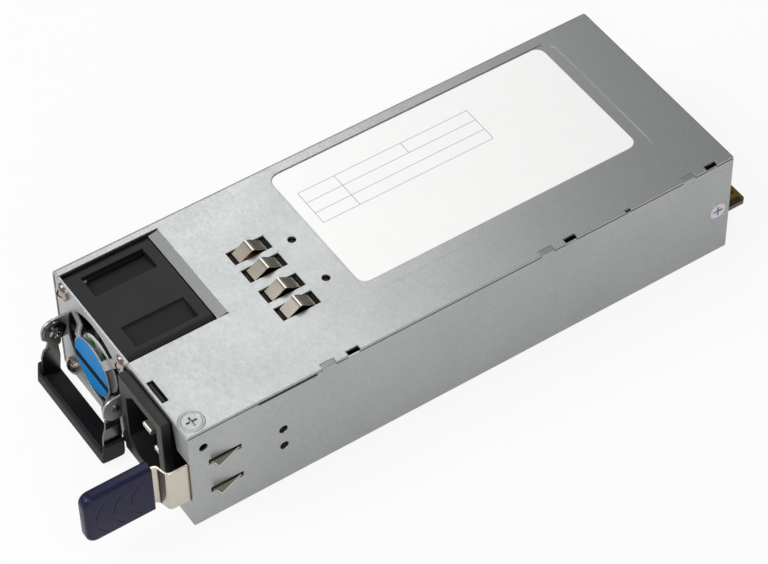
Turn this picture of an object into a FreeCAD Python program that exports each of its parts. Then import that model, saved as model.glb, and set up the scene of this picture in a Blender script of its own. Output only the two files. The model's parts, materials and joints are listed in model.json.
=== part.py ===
"""Hot swap server power supply: a folded steel module with a fan, a mains inlet, a bail handle
and a sprung release latch at the front, and a card edge at the rear.

Row frame, in millimetres: the origin is the centre of the case's underside, +X points to the side
that carries the inlet and the latch, +Y runs from the front to the card edge, +Z is up.
"""
import FreeCAD, Part
import math
import os
import re
import Sketcher

V = FreeCAD.Vector
doc = FreeCAD.newDocument("ServerPowerSupply")

# --------------------------------------------------------------------------------------------
# Driving dimensions. Each row is one spreadsheet cell: alias, value, what it is.
# --------------------------------------------------------------------------------------------
SIZES = [
    ("case_width", 73.5, "case, outside width"),
    ("case_height", 39.0, "case, outside height"),
    ("case_length", 185.0, "case, length without handle, tab and card edge"),
    ("steel", 0.8, "thickness of the case's steel sheet"),
    ("bend", 1.3, "outside radius of a folded edge"),
    ("seam", 0.05, "gap between two sheets that lie on each other"),
    ("lip_height", 6.0, "upturned lip of the tray inside the left wall"),
    ("panel_gap", 0.4, "front sill and cover lip, beside the front panel"),
    # fan
    ("fan_size", 38.0, "fan housing, width and height"),
    ("fan_depth", 28.0, "fan housing, length along the air"),
    ("fan_side", 3.45, "fan housing, from the outside of the left wall"),
    ("fan_top", 0.15, "fan housing below the cover's face"),
    ("fan_corner", 2.5, "rounding of the housing's corners"),
    ("duct_wall", 1.1, "wall between the air duct and the housing's side"),
    ("fan_hole_in", 3.0, "fan's screw holes, from the housing's sides"),
    ("strut_width", 2.2, "struts that carry the motor cup"),
    ("strut_depth", 2.6, "struts, along the air"),
    ("cup_radius", 9.9, "motor cup in front of the impeller"),
    ("cup_inset", 0.3, "motor cup behind the housing's front"),
    ("cup_floor", 1.2, "floor of the motor cup"),
    ("pocket_near", 7.0, "lightening pocket, inner end from the fan axis"),
    ("pocket_edge", 3.8, "lightening pocket, outer end from the housing's side"),
    ("pocket_length", 20.0, "lightening pocket, along the air"),
    ("pocket_shallow", 0.9, "lightening pocket, depth at its inner end"),
    ("pocket_deep", 2.6, "lightening pocket, depth at its outer end"),
    ("hub_radius", 9.2, "impeller hub"),
    ("hub_wall", 1.1, "wall of the impeller hub"),
    ("hub_gap", 0.8, "motor cup to impeller hub"),
    ("hub_length", 21.5, "impeller hub, along the air"),
    ("tip_play", 0.7, "blade tips inside the air duct"),
    ("blade_count", 7, "blades on the impeller"),
    ("blade_chord", 19.0, "blade, along the air"),
    ("blade_skin", 1.0, "blade thickness"),
    ("shaft_radius", 1.0, "fan shaft"),
    ("shaft_play", 0.03, "fan shaft in its bearing"),
    ("bearing_radius", 2.6, "bearing tube"),
    ("stator_radius", 7.3, "coils of the fan motor"),
    ("stator_length", 9.0, "coils of the fan motor, along the air"),
    # guard and front panel
    ("guard_lap", 1.3, "front panel over the edge of the air duct"),
    ("guard_disc", 9.6, "centre disc of the finger guard"),
    ("guard_step", 1.7, "how far the disc is pressed out"),
    ("spoke_width", 3.0, "spokes of the finger guard"),
    ("panel_side", 2.1, "right edge of the front panel, beside the fan"),
    ("panel_flange", 7.5, "return flange of the front panel along the left wall"),
    ("label_skin", 0.12, "thickness of a label"),
    ("disc_label_radius", 9.1, "round label on the guard's disc"),
    ("hub_label_radius", 9.3, "round label on the motor cup"),
    # handle
    ("handle_side", 0.5, "middle of the handle, to the left of the fan's axis"),
    ("ear_span", 17.75, "outer face of an ear from the handle's middle"),
    ("ear_skin", 0.8, "thickness of ears and arms"),
    ("ear_play", 0.1, "gap between an ear and its arm"),
    ("pivot_reach", 4.0, "pivot in front of the panel"),
    ("pivot_height", 20.6, "pivot above the underside"),
    ("eye_radius", 4.0, "round head of an ear"),
    ("ear_below", 4.6, "ear, below the pivot"),
    ("ear_cut", 2.4, "cut corner of an ear"),
    ("arm_eye", 3.65, "round head of an arm"),
    ("neck_drop", 5.3, "start of the arm's joggle below the pivot"),
    ("joggle_drop", 1.8, "height of the arm's joggle"),
    ("arm_drop", 18.4, "lower end of the arm below the pivot"),
    ("pivot_radius", 1.2, "shank of a pivot screw"),
    ("pivot_play", 0.05, "pivot screw in the arm"),
    ("pivot_head", 2.0, "head radius of a pivot screw"),
    ("pivot_head_height", 0.9, "head height of a pivot screw"),
    ("grip_half", 19.0, "half length of the grip"),
    ("grip_front", 10.6, "front of the grip before the panel"),
    ("grip_back", 2.9, "back of the grip before the panel"),
    ("grip_floor", 0.5, "underside of the grip above the case's underside"),
    ("grip_crest", 4.6, "front crest of the bar above the case's underside"),
    ("grip_sill", 2.4, "back edge of the bar above the case's underside"),
    ("grip_cheek", 8.5, "top of the end cheeks above the case's underside"),
    ("grip_round", 0.7, "rounding of the grip's edges"),
    # inlet
    ("inlet_side", 8.75, "right edge of the inlet bezel, from the right wall"),
    ("inlet_width", 23.1, "width of the bezel"),
    ("inlet_lift", 1.5, "middle of the inlet above the case's middle"),
    ("inlet_height", 32.0, "height of the bezel"),
    ("bezel_depth", 3.2, "bezel in front of the case"),
    ("bezel_lap", 2.05, "bezel over the body at the sides"),
    ("inlet_body_width", 19.0, "body behind the bezel"),
    ("inlet_body_height", 28.0, "body behind the bezel"),
    ("inlet_body_depth", 18.5, "body behind the case's front"),
    ("socket_width", 16.8, "mains socket, across"),
    ("socket_height", 24.8, "mains socket, upright"),
    ("socket_depth", 17.2, "mains socket"),
    ("socket_key", 4.2, "cut corners of the socket, on the earth side"),
    ("blade_wide", 4.0, "inlet blade, width"),
    ("blade_thick", 2.0, "inlet blade, thickness"),
    ("blade_pitch", 7.0, "live and neutral blades from the middle"),
    ("blade_stagger", 2.0, "earth and live rows from the middle"),
    ("blade_recess", 2.4, "earth blade's tip behind the bezel's face"),
    ("earth_lead", 0.8, "earth blade in front of the others"),
    ("blade_tail", 6.0, "blade tails behind the body"),
    # latch
    ("leaf_skin", 0.7, "spring steel of the latch"),
    ("leaf_play", 0.3, "leaf inside the right wall"),
    ("leaf_low", 11.2, "lower edge of the leaf"),
    ("leaf_high", 26.4, "upper edge of the leaf"),
    ("leaf_root_in", 26.2, "rear end of the leaf, behind the case's front"),
    ("leaf_joggle", 6.8, "joggle of the leaf in front of the case"),
    ("leaf_step", 4.65, "joggle towards the inlet"),
    ("leaf_waist_in", 4.1, "front end of the narrow stretch, behind the front"),
    ("barb_low", 12.35, "lower barb, middle height"),
    ("barb_high", 24.5, "upper barb, middle height"),
    ("barb_out", 2.7, "barb outside the wall"),
    ("barb_tip_in", 7.6, "barb tip, behind the front"),
    ("barb_front_in", 6.5, "front of the barb, behind the front"),
    ("barb_back_in", 15.7, "rear of the barb, behind the front"),
    ("slot_play", 0.65, "barb slots, clearance all round"),
    ("foot_gap", 0.35, "leaf to its riveted foot"),
    ("foot_length", 7.4, "riveted foot"),
    ("rivet_in", 29.8, "rivets, behind the front"),
    ("rivet_low", 15.1, "lower rivet"),
    ("rivet_high", 22.1, "upper rivet"),
    ("rivet_radius", 1.4, "rivet shank"),
    ("rivet_sink", 0.45, "rivet end inside the wall's face"),
    ("gate_play", 0.5, "front flanges above and below the leaf"),
    ("tab_thick", 4.0, "touch tab, thickness"),
    ("tab_over", 0.6, "touch tab outside the leaf"),
    ("tab_low", 8.6, "touch tab, lower edge"),
    ("tab_high", 27.0, "touch tab, upper edge"),
    ("tab_start", 9.1, "touch tab, rear end before the case"),
    ("tab_length", 21.4, "touch tab, length"),
    ("tab_corner", 2.4, "rounding of the tab's outline"),
    ("tab_edge", 0.9, "rounding of the tab's long edges"),
    ("tang_length", 11.0, "leaf inside the tab"),
    ("tang_low", 13.0, "tang, lower edge"),
    ("tang_high", 23.5, "tang, upper edge"),
    ("groove_sink", 0.4, "crescent grooves of the tab"),
    ("groove_height", 10.5, "crescent grooves, end to end"),
    ("groove_pitch", 5.6, "crescent grooves, spacing"),
    # top cover
    ("cutout_play", 0.3, "fan cut-out beside the fan"),
    ("cutout_in", 32.8, "rear edge of the fan cut-out, behind the front"),
    ("ramp_length", 3.35, "pressed ramp behind the fan"),
    ("ramp_drop", 0.8, "pressed ramp, drop"),
    ("window_width", 5.3, "windows for the earthing fingers"),
    ("window_front_in", 43.7, "windows, front edge behind the front"),
    ("window_back_in", 56.1, "windows, rear edge behind the front"),
    ("window_first", 25.15, "first window, middle from the left wall"),
    ("window_second", 33.15, "second window, middle from the left wall"),
    ("window_third", 42.35, "third window, middle from the left wall"),
    ("window_fourth", 50.25, "fourth window, middle from the left wall"),
    ("finger_width", 4.5, "earthing finger"),
    ("finger_skin", 0.3, "earthing finger, thickness"),
    ("finger_rise", 3.0, "earthing finger above the cover's inner face"),
    ("finger_half", 5.8, "earthing finger, half its run"),
    ("strip_length", 7.0, "earthing strip behind the fingers"),
    ("label_left_in", 4.75, "rating label, left edge from the left wall"),
    ("label_right_in", 19.75, "rating label, right edge from the right wall"),
    ("label_front_in", 69.2, "rating label, front edge behind the front"),
    ("label_back_in", 19.9, "rating label, rear edge before the rear"),
    ("label_corner", 3.0, "rating label, corner radius"),
    ("recess_right_in", 15.35, "label recess, right edge from the right wall"),
    ("recess_back_in", 16.1, "label recess, rear edge before the rear"),
    ("recess_sink", 0.3, "label recess, depth"),
    ("spot_hole", 1.2, "two round holes behind the windows"),
    ("hook_near", 2.55, "window for the inlet's hook, left edge from the inlet's middle"),
    ("hook_far", 5.95, "window for the inlet's hook, right edge from the inlet's middle"),
    ("hook_depth", 2.0, "window for the inlet's hook, along the case"),
    ("lip_drop", 1.9, "front lip of the cover below the top"),
    ("notch_in", 1.7, "interlocking notches, inwards from the right wall"),
    ("tab_run", 4.4, "wall tab, along the case"),
    ("tab_first", 43.3, "first wall tab, behind the front"),
    ("tab_second", 68.3, "second wall tab, before the rear"),
    ("tab_third", 18.3, "third wall tab, before the rear"),
    ("key_gap", 4.0, "cover tab and open notch, along the case"),
    ("relief_front_in", 22.5, "lowered wall edge, front end behind the front"),
    ("relief_back_in", 41.5, "lowered wall edge, rear end behind the front"),
    ("relief_drop", 0.9, "lowered wall edge"),
    ("cover_screw_side", 4.45, "cover screw, from the right wall"),
    ("cover_screw_in", 4.0, "cover screw, behind the front"),
    ("flange_side", 8.55, "right front flanges, inner edge from the right wall"),
    ("flange_slant", 1.6, "slant of the upper flange's inner edge"),
    ("side_hole_in", 4.6, "hole in the right wall, behind the front"),
    ("side_hole_drop", 7.0, "hole in the right wall, below the top"),
    ("side_hole_radius", 1.35, "hole in the right wall"),
    ("rear_screw_in", 4.2, "rear side screws, before the rear"),
    ("rear_screw_z", 18.2, "rear side screws, height"),
    ("vent_flat", 4.6, "hexagonal vents, across flats"),
    ("vent_pitch", 5.9, "hexagonal vents, spacing"),
    ("vent_low", 5.4, "row of vents under the card edge, height"),
    ("vent_high", 19.0, "first row of vents over the card edge, height"),
    # boards and what stands on them
    ("board_low", 10.9, "underside of the main board"),
    ("board_skin", 1.6, "thickness of the main board"),
    ("board_side", 3.25, "edge of the main board, inside the case's side"),
    ("board_in", 34.5, "front edge of the main board, behind the front"),
    ("card_reach", 9.2, "card edge behind the case"),
    ("card_slot_play", 0.8, "slot round the card edge"),
    ("contact_count", 25, "contacts on each face of the card edge"),
    ("contact_pitch", 2.54, "contact spacing"),
    ("contact_width", 1.7, "contact width"),
    ("contact_length", 7.2, "contact length"),
    ("contact_skin", 0.05, "contact thickness"),
    ("rear_flange", 8.0, "return flanges of the rear wall"),
    ("standoff_flat", 5.0, "board standoffs, across flats"),
    ("spigot_radius", 2.0, "standoff swaged in the bottom"),
    ("standoff_side", 6.75, "board standoffs, from the case's sides"),
    ("standoff_front_in", 38.0, "front standoffs, behind the front"),
    ("standoff_back_in", 36.5, "rear standoffs, before the rear"),
    ("screw_radius", 1.45, "shank of a case, fan or board screw"),
    ("screw_head", 2.75, "head radius of a case, fan or board screw"),
    ("screw_head_height", 1.9, "head height of a case, fan or board screw"),
    ("screw_length", 7.0, "shank length of a fan or board screw"),
    ("case_screw_length", 2.8, "case screws, whole length"),
    ("flat_height", 0.72, "countersunk head, height"),
    ("flat_angle", 120, "countersink, whole angle in degrees"),
    ("cross_width", 0.7, "arms of a cross recess"),
    ("cross_depth", 0.8, "depth of a cross recess"),
    ("film", 0.3, "insulation sheet"),
    ("wire_radius", 0.85, "mains wires"),
    ("lead_radius", 0.5, "fan lead wires"),
    ("lead_pitch", 1.1, "fan lead wires, spacing"),
    ("fan_clear", 0.65, "first lead wire beside the fan"),
    ("sink_skin", 2.0, "heat sink plates"),
    ("sink_fin", 1.0, "heat sink fins"),
    ("sink_fins", 7, "fins of a heat sink"),
    ("choke_core", 4.0, "choke rings, from outside to inside"),
    ("choke_wire", 1.0, "choke windings over the ring"),
    ("transistor_width", 10.0, "power transistor, along the heat sink"),
    ("transistor_skin", 4.2, "power transistor, thickness"),
    ("transistor_height", 15.0, "power transistor"),
    ("transistor_lift", 4.0, "power transistor above the board"),
    ("transistor_pitch", 15.0, "power transistors, spacing"),
    ("disc_radius", 4.0, "line filter disc capacitors"),
    ("disc_skin", 3.4, "line filter disc capacitors, thickness"),
    ("disc_side", 7.55, "line filter disc capacitors, from the right wall"),
    ("disc_in", 47.5, "first disc capacitor, behind the front"),
    ("disc_pitch", 10.5, "disc capacitors, spacing"),
    ("lead_wire", 0.4, "component legs"),
    ("can_radius", 4.0, "output capacitors"),
    ("can_height", 17.0, "output capacitors"),
    ("can_count", 7, "output capacitors"),
    ("can_pitch", 9.2, "output capacitors, spacing"),
    ("can_in", 16.5, "output capacitors, before the rear"),
    ("core_leg", 6.5, "transformer core, outer legs"),
    ("core_yoke", 4.0, "transformer core, yokes"),
    ("core_lift", 2.5, "transformer core above the board"),
    ("coil_end", 4.0, "transformer winding in front of and behind its core"),
    ("sheet_side", 2.45, "edge of the insulation sheet, inside the case's side"),
    # places and sizes of the parts on the board follow in a table of their own
]
# Each row: item, the wall it is measured from and its middle's distance, the end it is measured
# from and its middle's distance, width, length, and height. A tall item has the room that it
# leaves under the cover in place of its height. A round item has None where its height counts.
ON_BOARD = [
    ("terminal", "right", 18.3, "front", 38.5, 12.0, 6.5, 11.0),
    ("x_capacitor", "right", 16.75, "front", 68.0, 18.0, 8.0, 15.0),
    ("relay", "right", 11.75, "front", 83.0, 10.0, 18.0, 15.5),
    ("bridge", "right", 21.45, "front", 83.5, 3.6, 20.0, 18.0),
    ("standby", "right", 14.75, "front", 104.0, 15.0, 16.0, 14.5),
    ("primary_sink", "right", 33.25, "front", 95.5, 7.0, 54.0, 2.2),
    ("transformer", "left", 22.75, "rear", 52.5, 30.0, 26.0, 2.7),
    ("secondary_sink", "left", 34.75, "rear", 30.5, 52.0, 7.0, 5.7),
    ("control", "right", 5.75, "rear", 58.5, 1.6, 34.0, 3.7),
    ("fan_socket", "fan", 1.75, "front", 38.5, 8.4, 5.0, 8.0),
    ("fuse", "right", 30.75, "front", 55.5, 5.2, 18.0, 6.4),
    ("bulk", "left", 16.25, "front", 88.0, None, 42.0, 3.7),
    ("line_choke", "right", 16.75, "front", 52.5, 9.0, None, 19.0),
    ("boost_choke", "left", 18.75, "front", 50.0, 12.0, None, 2.7),
    ("output_choke", "left", 49.75, "rear", 51.5, 10.0, None, 20.0),
]
TALL = ("primary_sink", "transformer", "secondary_sink", "control", "bulk", "boost_choke")

# Places and sizes that follow from the sizes above, under names of their own.
PLACES = {
    "leaf_root": "(case_length/2 - leaf_root_in)",
    "leaf_waist": "(case_length/2 - leaf_waist_in)",
    "barb_tip": "(case_length/2 - barb_tip_in)",
    "barb_front": "(case_length/2 - barb_front_in)",
    "barb_back": "(case_length/2 - barb_back_in)",
    "rivet_back": "(case_length/2 - rivet_in)",
    "cutout_back": "(case_length/2 - cutout_in)",
    "window_front": "(case_length/2 - window_front_in)",
    "window_back": "(case_length/2 - window_back_in)",
    "label_front": "(case_length/2 - label_front_in)",
    "relief_front": "(case_length/2 - relief_front_in)",
    "relief_back": "(case_length/2 - relief_back_in)",
    "cover_screw_y": "(case_length/2 - cover_screw_in)",
    "side_hole_y": "(case_length/2 - side_hole_in)",
    "board_front": "(case_length/2 - board_in)",
    "standoff_front": "(case_length/2 - standoff_front_in)",
    "disc_y": "(case_length/2 - disc_in)",
    "label_back": "(case_length/2 - label_back_in)",
    "recess_back": "(case_length/2 - recess_back_in)",
    "rear_screw_y": "(case_length/2 - rear_screw_in)",
    "standoff_back": "(case_length/2 - standoff_back_in)",
    "can_y": "(case_length/2 - can_in)",
    "label_left": "(case_width/2 - label_left_in)",
    "label_right": "(case_width/2 - label_right_in)",
    "recess_right": "(case_width/2 - recess_right_in)",
    "cover_screw_x": "(case_width/2 - cover_screw_side)",
    "flange_left": "(case_width/2 - flange_side)",
    "board_half": "(case_width/2 - board_side)",
    "sheet_edge": "(case_width/2 - sheet_side)",
    "standoff_x": "(case_width/2 - standoff_side)",
    "disc_x": "(case_width/2 - disc_side)",
    "fan_offset": "(case_width/2 - fan_side - fan_size/2)",
    "duct_radius": "(fan_size/2 - duct_wall)",
    "fan_holes": "(fan_size - 2*fan_hole_in)",
    "pocket_far": "(fan_size/2 - pocket_edge)",
    "blade_tip": "(duct_radius - tip_play)",
    "guard_radius": "(duct_radius - guard_lap)",
    "panel_right": "(fan_size/2 + panel_side - fan_offset)",
    "sill_left": "(panel_right + panel_gap)",
    "handle_shift": "(fan_offset + handle_side)",
    "inlet_left": "(case_width/2 - inlet_side - inlet_width)",
    "inlet_low": "(case_height/2 + inlet_lift - inlet_height/2)",
    "hook_left": "(inlet_left + inlet_width/2 - hook_near)",
    "hook_right": "(inlet_left + inlet_width/2 + hook_far)",
    "side_hole_z": "(case_height - side_hole_drop)",
    "head_room": "(case_height - steel - board_low - board_skin)",
}
for item, wall, side, end, inwards, width, length, height in ON_BOARD:
    text = item.replace("_", " ")
    SIZES += [(f"{item}_side", side, f"{text}, middle from the {wall}"),
              (f"{item}_in", inwards, f"{text}, middle from the {end}")]
    PLACES[f"{item}_x"] = {"left": f"({item}_side - case_width/2)",
                           "right": f"(case_width/2 - {item}_side)",
                           "fan": f"(fan_size/2 - fan_offset + {item}_side)"}[wall]
    PLACES[f"{item}_y"] = {"front": f"({item}_in - case_length/2)",
                           "rear": f"(case_length/2 - {item}_in)"}[end]
    for part, value in (("width", width), ("length", length)):
        if value is None:
            PLACES[f"{item}_{part}"] = f"{item}_height"
        else:
            SIZES.append((f"{item}_{part}", value, f"{text}, {part}"))
    if item in TALL:
        SIZES.append((f"{item}_room", height, f"{text}, room under the cover"))
        PLACES[f"{item}_height"] = f"(head_room - {item}_room)"
    else:
        SIZES.append((f"{item}_height", height, f"{text}, height"))

sheet = doc.addObject("Spreadsheet::Sheet", "Sizes")
for row, (alias, value, meaning) in enumerate(SIZES, start=1):
    sheet.set(f"A{row}", meaning)
    sheet.set(f"B{row}", str(value))
    sheet.setAlias(f"B{row}", alias)
doc.recompute()
ALIASES = {alias for alias, value, meaning in SIZES}


# --------------------------------------------------------------------------------------------
# Small helpers: every size and place is an expression on the sheet.
# --------------------------------------------------------------------------------------------
def ex(text):
    """An expression with each place written out and each alias a reference to its cell."""
    def cell(word):
        name = word.group()
        if name in PLACES:
            return ex(PLACES[name])
        return "Sizes." + name if name in ALIASES else name
    return re.sub(r"[a-z][a-z_]*", cell, str(text))


def num(text):
    """The present value of an expression."""
    return float(sheet.evalExpression(ex(text)))


def bind(thing, path, text):
    thing.setExpression(path, ex(text))


def put(thing, at):
    """Bind the place of an object."""
    for axis, text in zip("xyz", at):
        bind(thing, f"Placement.Base.{axis}", text)
    return thing


def block(name, low, high):
    """A box between two corners."""
    piece = doc.addObject("Part::Box", name)
    for prop, start, end in zip(("Length", "Width", "Height"), low, high):
        bind(piece, prop, f"({end}) - ({start})")
    return put(piece, low)


ALONG = {"x": FreeCAD.Rotation(V(0, 1, 0), 90),
         "y": FreeCAD.Rotation(V(1, 0, 0), -90),
         "z": FreeCAD.Rotation()}


def rod(name, radius, start, length, along="z"):
    """A cylinder that begins at a point and runs along an axis."""
    piece = doc.addObject("Part::Cylinder", name)
    bind(piece, "Radius", radius)
    bind(piece, "Height", length)
    piece.Placement.Rotation = ALONG[along]
    return put(piece, start)


def cone(name, foot_radius, tip_radius, start, length, along="z"):
    """A truncated cone that begins at a point and runs along an axis."""
    piece = doc.addObject("Part::Cone", name)
    bind(piece, "Radius1", foot_radius)
    bind(piece, "Radius2", tip_radius)
    bind(piece, "Height", length)
    piece.Placement.Rotation = ALONG[along]
    return put(piece, start)


def fuse(name, *pieces):
    joined = doc.addObject("Part::MultiFuse", name)
    joined.Shapes = list(pieces)
    return joined


def cut(name, base, *tools):
    """A base less one tool, or less several tools joined."""
    tool = tools[0] if len(tools) == 1 else fuse(name + "_tools", *tools)
    rest = doc.addObject("Part::Cut", name)
    rest.Base = base
    rest.Tool = tool
    return rest


def group(name, pieces):
    """Like pieces kept together as separate solids."""
    together = doc.addObject("Part::Compound", name)
    together.Links = list(pieces)
    return together


def body(name, at=None):
    owner = doc.addObject("PartDesign::Body", name)
    if at:
        put(owner, at)
    return owner


def arc_between(start, end, radius, long_way):
    """Centre of the arc from start to end: radius > 0 turns anticlockwise, < 0 clockwise."""
    chord = end - start
    half = chord.Length / 2
    rise = math.sqrt(max(radius * radius - half * half, 0.0))
    left = V(-chord.y, chord.x, 0).normalize()
    side = 1 if (radius > 0) != long_way else -1
    return (start + end) / 2 + left * rise * side


def draw_outline(sketch, points):
    """A closed outline. A point is (u, v), or (u, v, radius[, long_way]) where an arc follows."""
    spots = [V(num(p[0]), num(p[1]), 0) for p in points]
    ends = []
    for index, point in enumerate(points):
        start, end = spots[index], spots[(index + 1) % len(spots)]
        if len(point) == 2:
            edge = sketch.addGeometry(Part.LineSegment(start, end))
            ends.append((edge, 1, 2))
            continue
        radius = num(point[2])
        centre = arc_between(start, end, radius, len(point) > 3)
        first, last = (start, end) if radius > 0 else (end, start)
        angles = [math.atan2(p.y - centre.y, p.x - centre.x) for p in (first, last)]
        if angles[1] < angles[0]:
            angles[1] += 2 * math.pi
        circle = Part.Circle(centre, V(0, 0, 1), abs(radius))
        edge = sketch.addGeometry(Part.ArcOfCircle(circle, *angles))
        ends.append((edge, 1, 2) if radius > 0 else (edge, 2, 1))
        limit = sketch.addConstraint(Sketcher.Constraint("Radius", edge, abs(radius)))
        bind(sketch, f"Constraints[{limit}]", f"abs({point[2]})")
    for index, (edge, start, end) in enumerate(ends):
        after = ends[(index + 1) % len(ends)]
        sketch.addConstraint(Sketcher.Constraint("Coincident", edge, end, after[0], after[1]))
        pin_point(sketch, edge, start, points[index], spots[index])


def pin_point(sketch, edge, end, texts, spot):
    """Hold a point at its two distances from the sketch's origin."""
    for kind, text, value in (("DistanceX", texts[0], spot.x), ("DistanceY", texts[1], spot.y)):
        limit = sketch.addConstraint(Sketcher.Constraint(kind, -1, 1, edge, end, value))
        bind(sketch, f"Constraints[{limit}]", text)


def draw_circle(sketch, u, v, radius):
    edge = sketch.addGeometry(Part.Circle(V(num(u), num(v), 0), V(0, 0, 1), num(radius)))
    pin_point(sketch, edge, 3, (u, v), V(num(u), num(v), 0))
    limit = sketch.addConstraint(Sketcher.Constraint("Radius", edge, num(radius)))
    bind(sketch, f"Constraints[{limit}]", radius)


def sketch_on(owner, plane, lift, outlines, circles=()):
    """A sketch on one of the body's own planes, lifted along the plane's normal."""
    sketch = owner.newObject("Sketcher::SketchObject", owner.Name + "_sketch")
    support = [f for f in owner.Origin.OriginFeatures if f.Role == plane + "_Plane"][0]
    sketch.AttachmentSupport = [(support, "")]
    sketch.MapMode = "FlatFace"
    bind(sketch, "AttachmentOffset.Base.z", lift)
    for outline in outlines:
        draw_outline(sketch, outline)
    for circle in circles:
        draw_circle(sketch, *circle)
    return sketch


def slab(owner, plane, start, end, outlines, circles=()):
    """Add material between two coordinates along the plane's axis."""
    back = plane == "XZ"
    sketch = sketch_on(owner, plane, f"-({start})" if back else start, outlines, circles)
    feature = owner.newObject("PartDesign::Pad", owner.Name + "_pad")
    feature.Profile = sketch
    feature.Reversed = back
    bind(feature, "Length", f"({end}) - ({start})")
    return feature


def carve(owner, plane, start, end, outlines, circles=()):
    """Take material away between two coordinates along the plane's axis."""
    doc.recompute()
    before = owner.Shape.Volume
    back = plane == "XZ"
    sketch = sketch_on(owner, plane, f"-({start})" if back else end, outlines, circles)
    feature = owner.newObject("PartDesign::Pocket", owner.Name + "_pocket")
    feature.Profile = sketch
    bind(feature, "Length", f"({end}) - ({start})")
    doc.recompute()
    if owner.Shape.Volume > before - 1e-6:
        raise RuntimeError(f"{owner.Name}: a pocket cuts nothing")
    return feature


def turn_round(owner, feature, count, axis="Y"):
    """Repeat a feature evenly round one of the body's own axes."""
    pattern = owner.newObject("PartDesign::PolarPattern", owner.Name + "_ring")
    pattern.Originals = [feature]
    line = [f for f in owner.Origin.OriginFeatures if f.Role == axis + "_Axis"][0]
    pattern.Axis = (line, [""])
    pattern.Angle = 360
    bind(pattern, "Occurrences", count)
    owner.Tip = pattern
    doc.recompute()
    return pattern


def repeat(owner, feature, count, pitch, axis="X"):
    """Repeat a feature in a row along one of the body's own axes."""
    pattern = owner.newObject("PartDesign::LinearPattern", owner.Name + "_row")
    pattern.Originals = [feature]
    line = [f for f in owner.Origin.OriginFeatures if f.Role == axis + "_Axis"][0]
    pattern.Direction = (line, [""])
    bind(pattern, "Length", f"({pitch})*(({count}) - 1)")
    bind(pattern, "Occurrences", count)
    owner.Tip = pattern
    doc.recompute()
    return pattern


def revolve(owner, plane, axis, angle, outlines, lift=0):
    """Turn outlines about one of the body's own axes, evenly to both sides of the plane."""
    sketch = sketch_on(owner, plane, lift, outlines)
    feature = owner.newObject("PartDesign::Revolution", owner.Name + "_turn")
    feature.Profile = sketch
    line = [f for f in owner.Origin.OriginFeatures if f.Role == axis + "_Axis"][0]
    feature.ReferenceAxis = (line, [""])
    feature.Midplane = True
    bind(feature, "Angle", angle)
    return feature


def countersink(owner, plane, face, u, v, inwards=False):
    """A countersunk hole for a case screw, from the outer face of a sheet."""
    sketch = sketch_on(owner, plane, face, [], [(u, v, "screw_radius + seam")])
    doc.recompute()
    hole = owner.newObject("PartDesign::Hole", owner.Name + "_hole")
    hole.Profile = sketch
    hole.Reversed = inwards
    hole.DepthType = "Dimension"
    hole.HoleCutType = "Countersink"
    hole.HoleCutCustomValues = True
    hole.DrillPoint = "Flat"
    bind(hole, "Depth", "steel + 0.02")
    bind(hole, "Diameter", "2*(screw_radius + seam)")
    bind(hole, "HoleCutDiameter", "2*(screw_head + seam)")
    bind(hole, "HoleCutCountersinkAngle", "flat_angle")
    doc.recompute()
    return hole


def wire(name, plane, lift, points, radius):
    """A round wire along bent straight runs, all in one plane."""
    owner = body(name)
    run = sketch_on(owner, plane, lift, [])
    spots = [V(num(u), num(v), 0) for u, v in points]
    for index in range(len(points) - 1):
        edge = run.addGeometry(Part.LineSegment(spots[index], spots[index + 1]))
        pin_point(run, edge, 1, points[index], spots[index])
        if index:
            run.addConstraint(Sketcher.Constraint("Coincident", edge, 1, edge - 1, 2))
    pin_point(run, edge, 2, points[-1], spots[-1])
    start = sketch_on(owner, "XZ", f"-({points[0][0]})", [], [(lift, points[0][1], radius)])
    pipe = owner.newObject("PartDesign::AdditivePipe", name + "_pipe")
    pipe.Profile = start
    pipe.Spine = (run, [f"Edge{i}" for i in range(1, len(points))])
    pipe.Transition = "Round corner"
    return owner


def soften(owner, radius, pick):
    """Round the edges that pick chooses."""
    doc.recompute()
    tip = owner.Tip
    names = [f"Edge{i}" for i, edge in enumerate(tip.Shape.Edges, 1) if pick(edge)]
    if not names:
        raise RuntimeError(f"{owner.Name}: no edge to round")
    feature = owner.newObject("PartDesign::Fillet", owner.Name + "_fillet")
    feature.Base = (tip, names)
    bind(feature, "Radius", radius)
    doc.recompute()
    return feature


def edge_at(direction, **spots):
    """Chooses the straight edges along one axis that lie on the given coordinates."""
    places = {axis: num(text) for axis, text in spots.items()}

    def pick(edge):
        if not isinstance(edge.Curve, Part.Line):
            return False
        run = edge.Vertexes[1].Point - edge.Vertexes[0].Point
        if abs(abs(getattr(run, direction)) - run.Length) > 1e-6:
            return False
        middle = edge.CenterOfMass
        return all(abs(getattr(middle, axis) - at) < 0.02 for axis, at in places.items())
    return pick


def either(*picks):
    return lambda edge: any(pick(edge) for pick in picks)


def rectangle(left, low, right, high):
    return [(left, low), (right, low), (right, high), (left, high)]


def hexagon(u, v, flat):
    """Six corners with two sides upright."""
    corner = f"({flat})/sqrt(3)"
    return [(f"({u}) + {corner}*cos({60 * k + 30})", f"({v}) + {corner}*sin({60 * k + 30})")
            for k in range(6)]


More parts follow.
